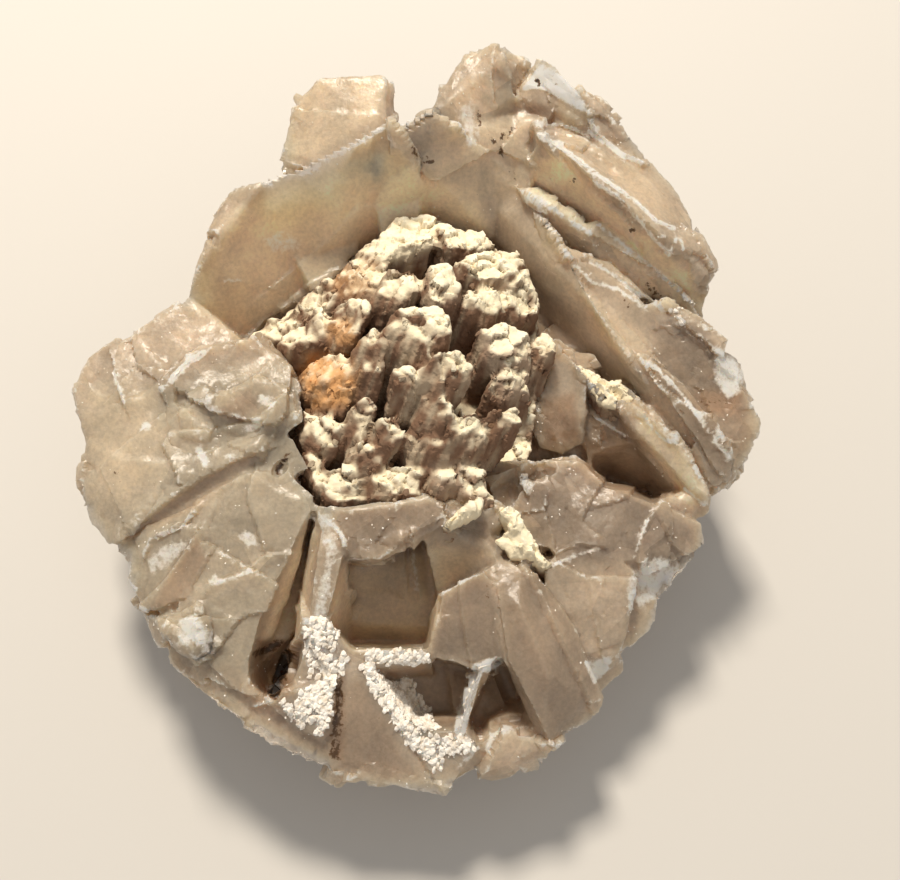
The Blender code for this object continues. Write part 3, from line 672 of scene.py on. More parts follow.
chalcedonyLook = {
    "voxel": 0.22 * mm,
    "triangles": 195000, "keepPull": 2.5e-5,
    "swell": 0.15 * mm, "swellSize": 5.0 * mm,
    "scar": 0.50 * mm, "scarSize": 3.0 * mm,
    "hollow": 0.13 * mm, "hollowSize": 1.5 * mm,
    "chip": 0.05 * mm, "chipSize": 0.8 * mm,
    "grain": 0.020 * mm, "grainSize": 0.5 * mm,
    "edgeRise": 0.06 * mm,
    "backScar": 1.3 * mm, "backScarSize": 7.0 * mm,  # on the sides that the picture doesn't show
    "backChip": 0.52 * mm, "backChipSize": 3.2 * mm,
    "growStretch": 0.34, "stepScale": 1.3,
    "stillBelow": 0.4 * mm, "freeAbove": 2.4 * mm,  # heights over the floor between which the relief sets in
    "wallShare": 0.3, "wallDepth": 4.0 * mm,  # no dent goes deeper into a wall than this share of it
    "speckSize": 0.9 * mm, "cloudSize": 6.0 * mm, "crustGrain": 1.6 * mm,
    "sharpAngle": math.radians(30),
    "facet": 0.20 * mm, "facetSize": 1.1, "facetStretch": 0.36,
    "pale": (0.62, 0.505, 0.38),
    # partly the stone's own brown, partly painted shade in the depths
    "brown": (0.46, 0.32, 0.215),
    # painted light: colour of thin walls lit through from behind
    "painted_through_light": (0.96, 0.775, 0.545),
    "cool": (0.555, 0.475, 0.36),
    # partly the stone's own pinkish tint, partly painted shade
    "lilac_and_shade": (0.50, 0.41, 0.33),
    # painted shade for faces that the light only grazes
    "painted_grazing_shade": (0.36, 0.275, 0.20),
    # white frosting, partly painted highlight
    "frost_and_glint": (0.97, 0.93, 0.86),
    # dark stains, also painted shadow in holes and slots
    "stain_and_shadow": (0.022, 0.012, 0.006), "stainAndShadowEdge": (0.20, 0.105, 0.045),
    "subsurface": 0.8, "depth": 2.8 * mm, "radius": (1.0, 0.82, 0.64),
    "transmission": 0.28, "roughness": 0.36,
    "flecks": 1.6e6, "fleckSmall": 0.06 * mm, "fleckLarge": 0.24 * mm,
    "crust": 26.0e6, "crustSmall": 0.15 * mm, "crustLarge": 0.75 * mm,
    "crustWhite": (0.98, 0.95, 0.89), "crustGrey": (0.72, 0.62, 0.50),
}

# Traced places on the chalcedony, in pixels of the picture. What the numbers before the corners mean stands
# in patchMask, lineMask, stepRelief and raisedRelief.

# plain smooth faces
smoothPatches = {
    "far wall": (8, 1.0, [(190, 300), (214, 245), (232, 200), (262, 196), (300, 180), (372, 150), (400, 150),
                          (430, 175), (430, 214), (395, 220), (345, 262), (300, 290), (243, 343)]),
    "great well": (5, 1.0, [(340, 560), (378, 560), (400, 545), (440, 525), (490, 545), (497, 562), (442, 592),
                            (430, 651), (350, 651), (328, 622)]),
    "groove": (4, 1.0, [(309, 513), (322, 530), (311, 570), (303, 612), (298, 640), (256, 640), (290, 560)]),
    "cavity": (8, 1.0, [(495, 210), (520, 205), (560, 250), (600, 320), (640, 385), (590, 370), (545, 330),
                        (530, 270), (500, 250)]),
    "tall face": (6, 0.95, [(535, 160), (560, 158), (600, 200), (640, 230), (690, 275), (700, 310), (650, 265),
                            (600, 222), (585, 230), (560, 208), (528, 190)]),
    "smooth grey": (6, 0.95, [(620, 165), (645, 165), (670, 190), (684, 225), (655, 222), (615, 185)]),
    "pale face": (6, 0.8, [(600, 290), (625, 292), (645, 310), (655, 365), (630, 350), (605, 315)]),
    "tongue side": (5, 0.9, [(584, 446), (632, 440), (680, 490), (655, 502), (600, 486), (578, 462)]),
    "tongue": (5, 0.6, [(640, 415), (680, 450), (700, 485), (670, 470), (640, 440)]),
    "rounded blade": (7, 0.85, [(500, 575), (525, 575), (560, 640), (590, 700), (550, 742), (525, 700), (505, 650)]),
    "corner": (5, 0.8, [(446, 596), (480, 575), (494, 595), (498, 655), (470, 662), (434, 645)]),
    "west swell": (12, 0.8, [(95, 400), (150, 405), (172, 465), (120, 520), (92, 490)]),
    "west band": (4, 0.9, [(125, 540), (150, 520), (200, 480), (245, 457), (262, 454), (200, 508), (150, 530)]),
    "prism side": (3, 0.9, [(195, 535), (208, 560), (185, 600), (150, 610), (165, 580), (186, 548)]),
    "pale facet": (4, 0.85, [(250, 472), (300, 500), (288, 560), (262, 540), (248, 500)]),
    "low facet": (6, 0.6, [(200, 600), (280, 570), (255, 655), (210, 640)]),
    "fin": (5, 0.55, [(285, 155), (297, 100), (320, 80), (383, 78), (375, 120), (310, 160)]),
    "brown lump": (5, 0.9, [(538, 370), (572, 356), (582, 400), (575, 440), (545, 440)]),
    "south face": (6, 0.85, [(345, 690), (365, 675), (400, 740), (430, 785), (340, 765)]),
    "near face": (3, 0.95, [(485, 672), (502, 664), (530, 708), (533, 730), (486, 725)]),
    "middle face": (3, 0.9, [(415, 668), (478, 665), (462, 700), (457, 728), (425, 728)]),
    "saddle": (10, 0.7, [(400, 150), (470, 130), (530, 130), (530, 185), (490, 235), (430, 215)]),
}

# edges of broken sheets: the side right of the line's run stands up and fades away from it
brokenSteps = {
    "white nick": (0.28, 26, [(124, 402), (118, 385), (112, 362)]),
    "nick foot": (0.20, 22, [(124, 402), (142, 396), (158, 384)]),
    "shoulder flake": (0.40, 20, [(170, 382), (192, 357), (206, 351), (245, 344)]),
    "middle edge": (0.22, 22, [(182, 412), (196, 402), (222, 398), (252, 384), (262, 372)]),
    "swell edge": (0.30, 26, [(176, 473), (163, 445), (172, 432), (196, 430)]),
    "lower middle": (0.24, 18, [(232, 425), (262, 416), (276, 402)]),
    "tilted plate": (0.26, 20, [(205, 452), (235, 440), (258, 432), (268, 418)]),
    "band edge": (0.30, 24, [(262, 452), (236, 462), (205, 478), (176, 498), (140, 525), (120, 540)]),
    "strip edge": (0.30, 18, [(195, 514), (180, 528), (154, 540), (148, 552)]),
    "prism edge": (0.34, 20, [(140, 605), (165, 580), (186, 550), (195, 535)]),
    "prism end": (0.24, 18, [(208, 560), (186, 598), (150, 612)]),
    "pale edge": (0.22, 24, [(262, 545), (246, 498), (252, 474)]),
    "low edge": (0.20, 22, [(212, 583), (240, 574), (262, 556), (286, 552)]),
    "lower flake": (0.30, 16, [(176, 622), (201, 646), (196, 612)]),
    "rim edge": (0.24, 18, [(262, 700), (236, 690), (214, 668)]),
    "wall facet": (0.14, 60, [(284, 275), (300, 262), (338, 228), (355, 206), (372, 203), (386, 180), (402, 168)]),
    "wall foot": (0.14, 40, [(242, 342), (262, 320), (285, 305), (305, 284), (345, 264)]),
    "peak line": (0.22, 14, [(497, 50), (492, 75), (494, 95)]),
    "peak side": (0.22, 14, [(503, 52), (512, 75), (520, 98)]),
    "lens rim": (0.35, 16, [(592, 138), (575, 130), (556, 124), (540, 126), (533, 136)]),
    "crust streak": (0.26, 14, [(642, 163), (622, 156), (606, 144), (594, 134), (588, 116)]),
    "second ridge": (0.26, 16, [(672, 252), (655, 240), (640, 222), (620, 200), (594, 182)]),
    "rough ridge": (0.20, 14, [(660, 308), (640, 294), (612, 270), (592, 262)]),
    "east fold": (0.22, 20, [(742, 384), (724, 372), (700, 345), (680, 330)]),
    "east crease": (0.26, 22, [(716, 470), (700, 440), (672, 402), (655, 378)]),
    "lump edge": (0.26, 14, [(632, 436), (612, 428), (596, 418)]),
    "tongue mark": (0.20, 12, [(666, 440), (658, 432), (652, 420)]),
    "rough sheet one": (0.32, 18, [(600, 487), (592, 500), (582, 520), (596, 532)]),
    "rough sheet two": (0.28, 18, [(640, 488), (622, 500), (600, 506)]),
    "rough sheet three": (0.26, 16, [(638, 560), (634, 545), (645, 520), (660, 500)]),
    "rough sheet four": (0.26, 16, [(600, 548), (580, 545), (556, 552)]),
    "blue edge": (0.25, 18, [(690, 560), (672, 545), (662, 525)]),
    "finger ridge": (0.30, 26, [(586, 700), (562, 650), (540, 600), (524, 570)]),
    "finger edge": (0.25, 16, [(548, 742), (532, 705), (508, 660), (499, 600)]),
    "corner edge": (0.20, 14, [(470, 664), (462, 620), (458, 585)]),
    "well ridge": (0.32, 12, [(418, 594), (412, 560), (410, 538)]),
    "well ridge back": (0.20, 10, [(404, 540), (406, 565), (409, 592)]),
    "sill scallop": (0.28, 18, [(398, 547), (380, 558), (350, 558), (343, 545)]),
    "sill notch": (0.20, 14, [(436, 522), (418, 532), (404, 540)]),
    "south crease": (0.22, 20, [(440, 790), (420, 760), (398, 722), (372, 680)]),
    "knob edge": (0.30, 14, [(290, 690), (276, 702), (262, 706)]),
}

# shallow troughs that are filled up a little
filledPatches = {
    "west band": (0.40, 7, [(120, 545), (150, 524), (200, 486), (245, 462), (268, 452), (262, 440), (236, 447),
                            (200, 468), (150, 504), (118, 528)]),
    "groove": (0.25, 7, [(309, 520), (316, 535), (306, 575), (298, 612), (290, 640), (268, 640), (290, 580)]),
}

# faces painted brown: partly the stone's own brown, partly painted shade in the wells, slots and hollows
brownPatches = {
    "great well": (8, 0.9, [(340, 566), (400, 560), (440, 545), (490, 555), (442, 592), (430, 651), (350, 651),
                            (328, 622)]),
    "groove": (6, 0.8, [(309, 530), (320, 535), (311, 570), (303, 612), (298, 660), (250, 690), (262, 620),
                        (290, 560)]),
    "brown lump": (5, 0.95, [(542, 400), (574, 392), (580, 440), (545, 446)]),
    "lump side": (6, 0.6, [(584, 378), (625, 412), (650, 456), (618, 480), (588, 460)]),
    "east slot": (5, 1.0, [(578, 462), (600, 455), (645, 470), (680, 490), (655, 502), (603, 486)]),
    "near face": (4, 0.6, [(485, 672), (502, 664), (530, 708), (533, 730), (486, 725)]),
    "middle face": (4, 0.4, [(400, 672), (430, 664), (430, 726), (415, 705)]),
    "cavity": (14, 0.5, [(495, 225), (530, 260), (580, 320), (640, 395), (590, 370), (545, 335)]),
    "amber slot": (3, 0.9, [(526, 176), (538, 182), (534, 194), (526, 190)]),
    "amber wall": (5, 0.8, [(478, 202), (490, 202), (484, 232), (466, 224)]),
    "under frost": (6, 0.75, [(524, 98), (560, 110), (590, 124), (588, 134), (545, 122), (520, 108)]),
    "east brown": (6, 0.95, [(690, 392), (742, 390), (738, 414), (700, 414)]),
    "south stain": (5, 0.9, [(330, 672), (346, 672), (346, 760), (330, 758)]),
    "west band": (4, 0.5, [(125, 540), (150, 520), (200, 480), (245, 457), (262, 454), (200, 508), (150, 530)]),
    "prism side": (3, 0.6, [(195, 535), (208, 560), (185, 600), (150, 610), (165, 580), (186, 548)]),
    "groove foot": (3, 1.0, [(256, 640), (280, 628), (298, 640), (292, 690), (262, 702), (252, 676)]),
    "reddish plate": (4, 0.55, [(215, 412), (250, 390), (262, 410), (240, 424)]),
    "south face": (10, 0.35, [(345, 690), (362, 672), (400, 740), (400, 780), (340, 765)]),
}

# thin walls that the light comes through: painted light, their colour lightened as if lit from behind
paintedThroughLightPatches = {
    "far wall": (10, 0.85, [(195, 300), (216, 245), (234, 205), (262, 200), (300, 184), (372, 154), (402, 154),
                            (430, 178), (480, 185), (487, 232), (395, 220), (345, 262), (300, 290), (243, 343)]),
    "fin": (6, 0.5, [(285, 155), (297, 100), (320, 82), (383, 82), (375, 118), (310, 158)]),
    "tall face": (6, 1.0, [(535, 160), (560, 158), (600, 200), (640, 230), (690, 275), (700, 310), (650, 268),
                           (600, 226), (585, 234), (560, 210), (528, 192)]),
    "outer face": (8, 0.45, [(555, 100), (592, 118), (640, 165), (684, 222), (655, 222), (600, 178), (560, 148)]),
    "long face": (8, 0.35, [(530, 215), (560, 245), (595, 295), (640, 330), (655, 370), (600, 345), (550, 290)]),
    "crest": (14, 0.5, [(440, 120), (470, 80), (520, 90), (530, 180), (500, 200), (430, 180)]),
    "great well": (6, 0.7, [(340, 566), (400, 560), (440, 545), (490, 555), (442, 592), (430, 651), (350, 651),
                            (328, 622)]),
    "tongue": (5, 0.6, [(640, 412), (680, 445), (706, 495), (690, 510), (660, 470), (636, 440)]),
    "west swell": (14, 0.3, [(92, 390), (150, 385), (168, 450), (120, 515), (90, 490)]),
    "third face": (6, 0.6, [(590, 262), (612, 270), (662, 312), (690, 300), (650, 264), (600, 225), (592, 240)]),
    "groove": (4, 0.8, [(309, 520), (320, 535), (311, 570), (303, 612), (298, 640), (262, 640), (290, 560)]),
}

# greyer faces
coolPatches = {
    "lower left": (14, 1.0, [(85, 385), (170, 385), (295, 350), (312, 495), (262, 655), (235, 715), (150, 620),
                             (118, 545), (82, 480)]),
    "fin": (8, 0.6, [(279, 158), (297, 100), (318, 78), (386, 80), (376, 114), (345, 150)]),
    "corner": (6, 0.4, [(440, 600), (480, 575), (495, 600), (500, 655), (434, 650)]),
}

# faces with a pinkish grey: partly the stone's own tint, partly painted shade on faces turned from the light
lilacAndShadePatches = {
    "lens": (4, 0.9, [(540, 126), (560, 128), (595, 140), (615, 158), (600, 166), (575, 160), (555, 146)]),
    "outer grey": (8, 0.7, [(585, 95), (620, 125), (660, 165), (640, 160), (600, 140)]),
    "rough top": (10, 0.8, [(500, 475), (580, 465), (660, 515), (700, 530), (690, 560), (600, 560), (540, 545)]),
    "finger": (14, 0.6, [(520, 640), (560, 640), (585, 690), (560, 720), (530, 700)]),
    "knob": (8, 0.7, [(320, 600), (345, 640), (350, 680), (300, 735), (275, 720), (300, 690)]),
    "east": (10, 0.5, [(650, 310), (700, 320), (740, 360), (735, 400), (690, 385)]),
}

# painted shade: darker, greyer colour on faces that the light only grazes
paintedGrazingShadePatches = {
    "sill": (6, 0.9, [(336, 512), (440, 500), (495, 520), (497, 548), (440, 528), (400, 548), (345, 560)]),
    "corner": (6, 0.9, [(440, 600), (480, 573), (497, 600), (500, 660), (434, 652)]),
    "rounded blade": (8, 0.75, [(500, 572), (540, 575), (585, 640), (600, 690), (550, 742), (525, 700), (503, 650)]),
    "rough top": (12, 0.6, [(500, 475), (580, 465), (660, 515), (700, 530), (680, 580), (600, 575), (540, 560)]),
    "south face": (8, 0.55, [(338, 690), (365, 672), (400, 740), (430, 785), (340, 765)]),
    "near faces": (4, 0.6, [(400, 668), (530, 664), (535, 730), (425, 728)]),
    "east": (10, 0.7, [(655, 330), (700, 322), (745, 370), (752, 440), (715, 480), (690, 430), (655, 372)]),
    "lump side": (6, 0.6, [(584, 378), (625, 412), (655, 470), (618, 480), (588, 460)]),
    "outer face": (8, 0.55, [(560, 112), (592, 122), (640, 168), (684, 226), (655, 222), (600, 180), (570, 158)]),
    "lower rim": (6, 0.4, [(200, 660), (262, 720), (330, 762), (330, 745), (270, 705), (230, 665)]),
}

# white faces: partly the stone's own frosting, partly painted highlight where facets catch the light
frostAndGlintPatches = {
    "frosted corner": (3, 1.0, [(522, 90), (540, 63), (556, 70), (578, 92), (591, 114), (575, 108), (556, 96),
                                (540, 88)]),
    "blue white": (5, 0.75, [(716, 352), (738, 360), (744, 388), (728, 400), (714, 380)]),
    "south rim": (6, 0.7, [(625, 596), (632, 570), (660, 556), (690, 566), (660, 600), (640, 606)]),
    "chip": (3, 0.8, [(584, 662), (612, 656), (608, 672), (594, 684)]),
    "low flake": (3, 0.75, [(176, 622), (195, 613), (201, 645), (188, 640)]),
    "prism facet": (3, 0.55, [(150, 574), (147, 560), (165, 545), (194, 536), (186, 548), (162, 572)]),
    "upper white": (3, 0.8, [(256, 394), (264, 394), (276, 402), (272, 408), (260, 402)]),
    "middle white": (3, 0.7, [(240, 428), (262, 420), (262, 428), (244, 433)]),
    "lower white": (3, 0.8, [(194, 450), (200, 444), (210, 462), (204, 468)]),
    "plate white": (3, 0.7, [(222, 456), (236, 450), (238, 455), (226, 459)]),
    "facet white": (4, 0.8, [(238, 532), (250, 528), (258, 544), (246, 546)]),
    "shelf white": (3, 0.75, [(208, 582), (216, 573), (222, 583), (212, 587)]),
    "small white": (2, 0.9, [(141, 428), (149, 421), (151, 426), (143, 432)]),
    "wall cream": (6, 0.45, [(262, 238), (285, 228), (302, 240), (300, 250), (272, 254)]),
    "crest cream": (6, 0.5, [(455, 110), (472, 100), (478, 125), (480, 145), (468, 148)]),
}

# white broken edges: partly frosting, partly painted highlight where the edges catch the light
frostAndGlintLines = {
    "ridge line": (3.0, 0.95, [(540, 134), (562, 148), (585, 165), (602, 178), (620, 190), (640, 205), (658, 222),
                               (674, 228)]),
    "ridge line two": (2.5, 0.7, [(594, 183), (620, 200), (640, 222), (655, 240), (668, 252)]),
    "lens rim": (2.5, 0.95, [(540, 125), (556, 124), (575, 130), (592, 138)]),
    "outer streak": (4, 0.8, [(590, 120), (596, 134), (607, 143), (622, 155), (642, 163)]),
    "white slash": (1.8, 0.8, [(668, 256), (676, 240)]),
    "white slash two": (1.8, 0.8, [(683, 250), (681, 238)]),
    "white nick": (2.2, 1.0, [(113, 372), (118, 385), (124, 402)]),
    "white flake": (4.5, 0.95, [(171, 381), (184, 366), (204, 352)]),
    "strip line": (1.8, 1.0, [(155, 539), (180, 528), (194, 514)]),
    "west spark": (2, 0.8, [(162, 388), (166, 386)]),
    "wall dash": (2.5, 0.6, [(224, 281), (240, 280)]),
    "fin edge": (2.6, 0.85, [(300, 175), (325, 160), (350, 148), (384, 128)]),
    "rough edge": (2.5, 0.6, [(520, 190), (545, 205), (570, 220), (590, 232)]),
    "rough long edge": (2.5, 0.65, [(598, 224), (625, 245), (650, 265), (690, 302)]),
    "rough low edge": (3, 0.6, [(590, 262), (610, 272), (640, 296), (664, 311)]),
    "cavity edge": (3, 0.55, [(545, 222), (560, 245), (580, 270), (592, 282), (618, 289), (645, 307)]),
    "white partition": (8, 1.0, [(497, 662), (478, 668), (466, 700), (460, 730)]),
    "partition foot": (1.8, 0.9, [(460, 732), (478, 749)]),
    "left ridge": (9, 0.5, [(325, 520), (332, 550), (322, 600), (314, 640)]),
    "left ridge line": (2.5, 0.9, [(328, 520), (342, 535), (344, 545)]),
    "near lip": (3, 0.9, [(487, 751), (493, 735), (508, 728)]),
    "near lip two": (3, 0.5, [(508, 728), (530, 728), (540, 742)]),
    "south point": (4, 0.5, [(458, 768), (470, 756), (474, 748)]),
    "inner ridge": (2.5, 0.7, [(640, 360), (658, 370), (683, 395), (706, 428), (722, 450)]),
    "tongue line": (2.5, 0.6, [(628, 412), (645, 418), (662, 440), (682, 445), (700, 478)]),
    "lump line": (1.8, 0.8, [(596, 418), (612, 428), (628, 437)]),
    "tip line": (2.5, 0.7, [(684, 488), (704, 505)]),
    "block line": (3, 0.6, [(552, 565), (575, 556), (600, 548)]),
    "south east line": (2.5, 0.6, [(634, 558), (640, 540), (646, 520)]),
    "well ridge": (4, 0.35, [(411, 540), (414, 565), (417, 592)]),
    "sill line": (2.2, 0.45, [(350, 559), (378, 559), (398, 547)]),
    "corner line": (2.5, 0.4, [(443, 593), (460, 582), (480, 573)]),
    "shelf line": (2.5, 0.5, [(212, 584), (232, 578), (250, 572)]),
    "rim nick": (3, 0.9, [(127, 580), (134, 590)]),
    "foot line": (2, 0.8, [(283, 754), (295, 750), (300, 757)]),
}

# where the white crust sits
crustPatches = {
    "crest": (2, 1.0, [(364, 651), (428, 651), (430, 661), (405, 664), (370, 662)]),
    "crest left": (2, 0.5, [(335, 640), (352, 650), (350, 660), (338, 662)]),
    "band": (2, 1.0, [(364, 660), (376, 665), (390, 690), (404, 715), (432, 748), (444, 768), (434, 768),
                      (404, 738), (388, 712), (368, 684)]),
    "branch": (3, 1.0, [(380, 684), (408, 676), (420, 700), (436, 728), (420, 732), (394, 704)]),
    "knob": (3, 0.8, [(275, 702), (296, 690), (334, 676), (334, 706), (324, 732), (314, 735), (290, 716)]),
    "left ridge": (3, 0.4, [(306, 620), (326, 615), (348, 648), (346, 672), (312, 690), (304, 660)]),
    "south tail": (3, 0.5, [(430, 735), (470, 738), (472, 752), (440, 758)]),
    "outer": (2, 0.6, [(588, 118), (598, 128), (612, 146), (600, 142), (590, 132)]),
    "east": (3, 0.5, [(664, 306), (682, 306), (700, 326), (680, 325)]),
    "peak foot": (3, 0.5, [(502, 86), (518, 82), (512, 98)]),
}

# brown and black stains, and painted shadow in the groove hole, the slit and the slots
stainAndShadowLines = {
    "groove hole": (9, 1.0, [(287, 655), (281, 672), (274, 692)]),
    "groove stain": (6, 0.62, [(256, 654), (270, 648), (280, 642)]),
    "crest speck": (3.5, 0.60, [(500, 140), (507, 134), (513, 128)]),
    "crest speck two": (4, 0.62, [(499, 148), (503, 156)]),
    "crest speck three": (3.5, 0.48, [(478, 110), (480, 124)]),
    "crest speck four": (4, 0.5, [(490, 138), (494, 142)]),
    "crest speck five": (4, 0.45, [(511, 172), (515, 178)]),
    "crest speck six": (3.5, 0.6, [(413, 148), (418, 158), (432, 162)]),
    "corner speck": (3, 0.9, [(536, 80), (540, 84)]),
    "corner dot": (1.5, 0.8, [(558, 83), (560, 84)]),
    "tall speck": (3, 0.6, [(569, 180), (576, 180)]),
    "tall mark": (1.5, 0.6, [(629, 231), (635, 228)]),
    "rough slot": (5, 0.42, [(648, 284), (664, 302)]),
    "east stain": (5, 0.36, [(700, 402), (734, 400)]),
    "south stain": (8, 0.55, [(338, 680), (338, 700), (337, 720), (335, 756)]),
    "small slit": (4, 0.8, [(276, 472), (288, 456)]),
    "corner stain": (4, 0.35, [(486, 582), (491, 600)]),
    "east dot": (2.5, 0.6, [(626, 300), (630, 308)]),
    "slot dot": (3.5, 0.5, [(646, 492), (650, 494)]),
    "sill dot": (2.5, 0.6, [(410, 532), (414, 536)]),
    "west dot": (2.5, 0.45, [(114, 472), (117, 475)]),
}


# right of and above this pixel the blades run along the rim, and elsewhere out from the heart
eastCorner = (512, 505)
eastRun = unit(np.array((0.62, -0.72, -0.30)))


def eastShare(pixels):
    return ramp(pixels[:, 0] - eastCorner[0], 0, 16) * ramp(eastCorner[1] - pixels[:, 1], 0, 20)


def growthOf(points, pixels):
    east = eastShare(pixels) > 0.5
    return np.where(east[:, None], eastRun, unit(points - heart))


def shapeChalcedony():
    k = chalcedonyLook
    piece = voxelSkin(mergedCopy("chalcedony", "chalcedony_blades"), k["voxel"])
    mesh = piece.data
    points, normals, edges = placesOf(mesh), normalsOf(mesh), edgesOf(mesh)
    print("stage: chalcedony skin", len(points), "points")
    pixels = toPixels(points)
    seen = seenFromEye(treeOf(mesh), points, normals, edges)
    smooth = patchMask(pixels, smoothPatches) * seen
    rough = 1 - smooth
    east = eastShare(pixels)
    moved = layeredNoise(points, k["swellSize"], 1, 2) * k["swell"]
    for grow, share in ((unit(points - heart), 1 - east), (eastRun, east)):
        long = stretched(points, grow, k["growStretch"])
        moved += flakeScars(long, k["scarSize"], 3) * k["scar"] * (0.12 + 0.88 * rough) * share
        moved += flakeScars(long, k["hollowSize"], 13) * k["hollow"] * (0.03 + 0.97 * rough) * share
    moved += flakeScars(points, k["chipSize"], 21) * k["chip"] * rough
    moved += layeredNoise(points, k["grainSize"], 5, 2) * k["grain"] * (0.4 + 0.6 * rough)
    hidden = ramp(0.5 - blurred(seen, edges, 30), 0.0, 0.4)
    moved += flakeScars(points, k["backScarSize"], 23) * k["backScar"] * hidden
    moved += flakeScars(points, k["backChipSize"], 27) * k["backChip"] * hidden
    moved += (stepRelief(pixels, brokenSteps) * k["stepScale"] + raisedRelief(pixels, filledPatches)
              + lineMask(pixels, frostAndGlintLines) * k["edgeRise"]) * seen
    flat = ramp(points[:, 2], k["stillBelow"], k["freeAbove"])
    walls = thickness(treeOf(mesh), points, normals, k["wallDepth"])
    moved = np.maximum(moved * flat, -k["wallShare"] * walls)
    setPlaces(mesh, points + normals * moved[:, None])
    # full strength would lock the seen side and use up the hidden one
    thinned(piece, k["triangles"], 0.9 * np.clip(seen, 0, 1), k["keepPull"])
    points = placesOf(piece.data)
    points[:, 2] = np.maximum(points[:, 2], 0)  # thinning may dip a corner below the floor
    setPlaces(piece.data, points)
    return piece


def paintChalcedony(piece, sky):
    k = chalcedonyLook
    mesh = piece.data
    points, normals, edges = placesOf(mesh), normalsOf(mesh), edgesOf(mesh)
    pixels = toPixels(points)
    seen = seenFromEye(treeOf(mesh), points, normals, edges)
    openSky = skyShare(sky, points)
    bend = roundness(points, normals, edges, 4)
    speck = layeredNoise(points, k["speckSize"], 31, 3)
    cloud = layeredNoise(points, k["cloudSize"], 37, 3)
    # painted shade: places that see little open sky are painted browner
    deep = ramp(0.66 - openSky, 0.0, 0.5)
    # painted light on thin walls lit through from behind
    painted_through_light = patchMask(pixels, paintedThroughLightPatches) * seen
    brown = np.maximum(deep * 0.7 + cloud * 0.12, patchMask(pixels, brownPatches) * seen) * (1 - painted_through_light)
    crust = patchMask(pixels, crustPatches) * seen
    smooth = patchMask(pixels, smoothPatches) * seen
    crust = crust * ramp(layeredNoise(points, k["crustGrain"], 43, 2) + crust, 0.05, 0.75)
    # painted highlight: convex rims whiter, less in the deep places and on smooth faces
    rimGlint = ramp(bend, 0.03, 0.12) * ramp(speck, -0.4, 0.6) * (1 - 0.7 * deep) * (1 - 0.85 * smooth)
    frost_and_glint = np.maximum(patchMask(pixels, frostAndGlintPatches), lineMask(pixels, frostAndGlintLines)) * seen
    frost_and_glint = np.clip(frost_and_glint * (0.65 + 0.35 * ramp(speck, -0.8, 0.2)) + rimGlint * 0.55 + crust, 0, 1)
    # real stains, and painted shadow in the groove hole, the slit and the slots
    stain_and_shadow = lineMask(pixels, stainAndShadowLines) * seen
    saveMask(mesh, "brown", brown)
    saveMask(mesh, "painted_through_light", painted_through_light)
    saveMask(mesh, "cool", patchMask(pixels, coolPatches) * seen)
    # pinkish tint, partly painted shade on faces turned from the light
    saveMask(mesh, "lilac_and_shade", patchMask(pixels, lilacAndShadePatches) * seen)
    # painted shade on faces that the light only grazes
    saveMask(mesh, "painted_grazing_shade", patchMask(pixels, paintedGrazingShadePatches) * seen)
    saveMask(mesh, "east", eastShare(pixels))
    saveMask(mesh, "frost_and_glint", frost_and_glint)
    saveMask(mesh, "stain_and_shadow", stain_and_shadow)
    saveMask(mesh, "smooth", smooth)
    clear = ramp(points[:, 2], 1.0 * mm, 2.0 * mm)
    saveMask(mesh, "crust", ramp(crust, 0.1, 0.6) * ramp(normals[:, 2], -0.2, 0.3) * clear)
    saveMask(mesh, "flecked", (1 - smooth) * ramp(speck, 0.1, 0.7) * clear)
    saveDirection(mesh, "grow", growthOf(points, pixels))
    mesh.shade_smooth()
    mesh.set_sharp_from_angle(angle=k["sharpAngle"])
    mesh.materials.append(cloudyChalcedony)


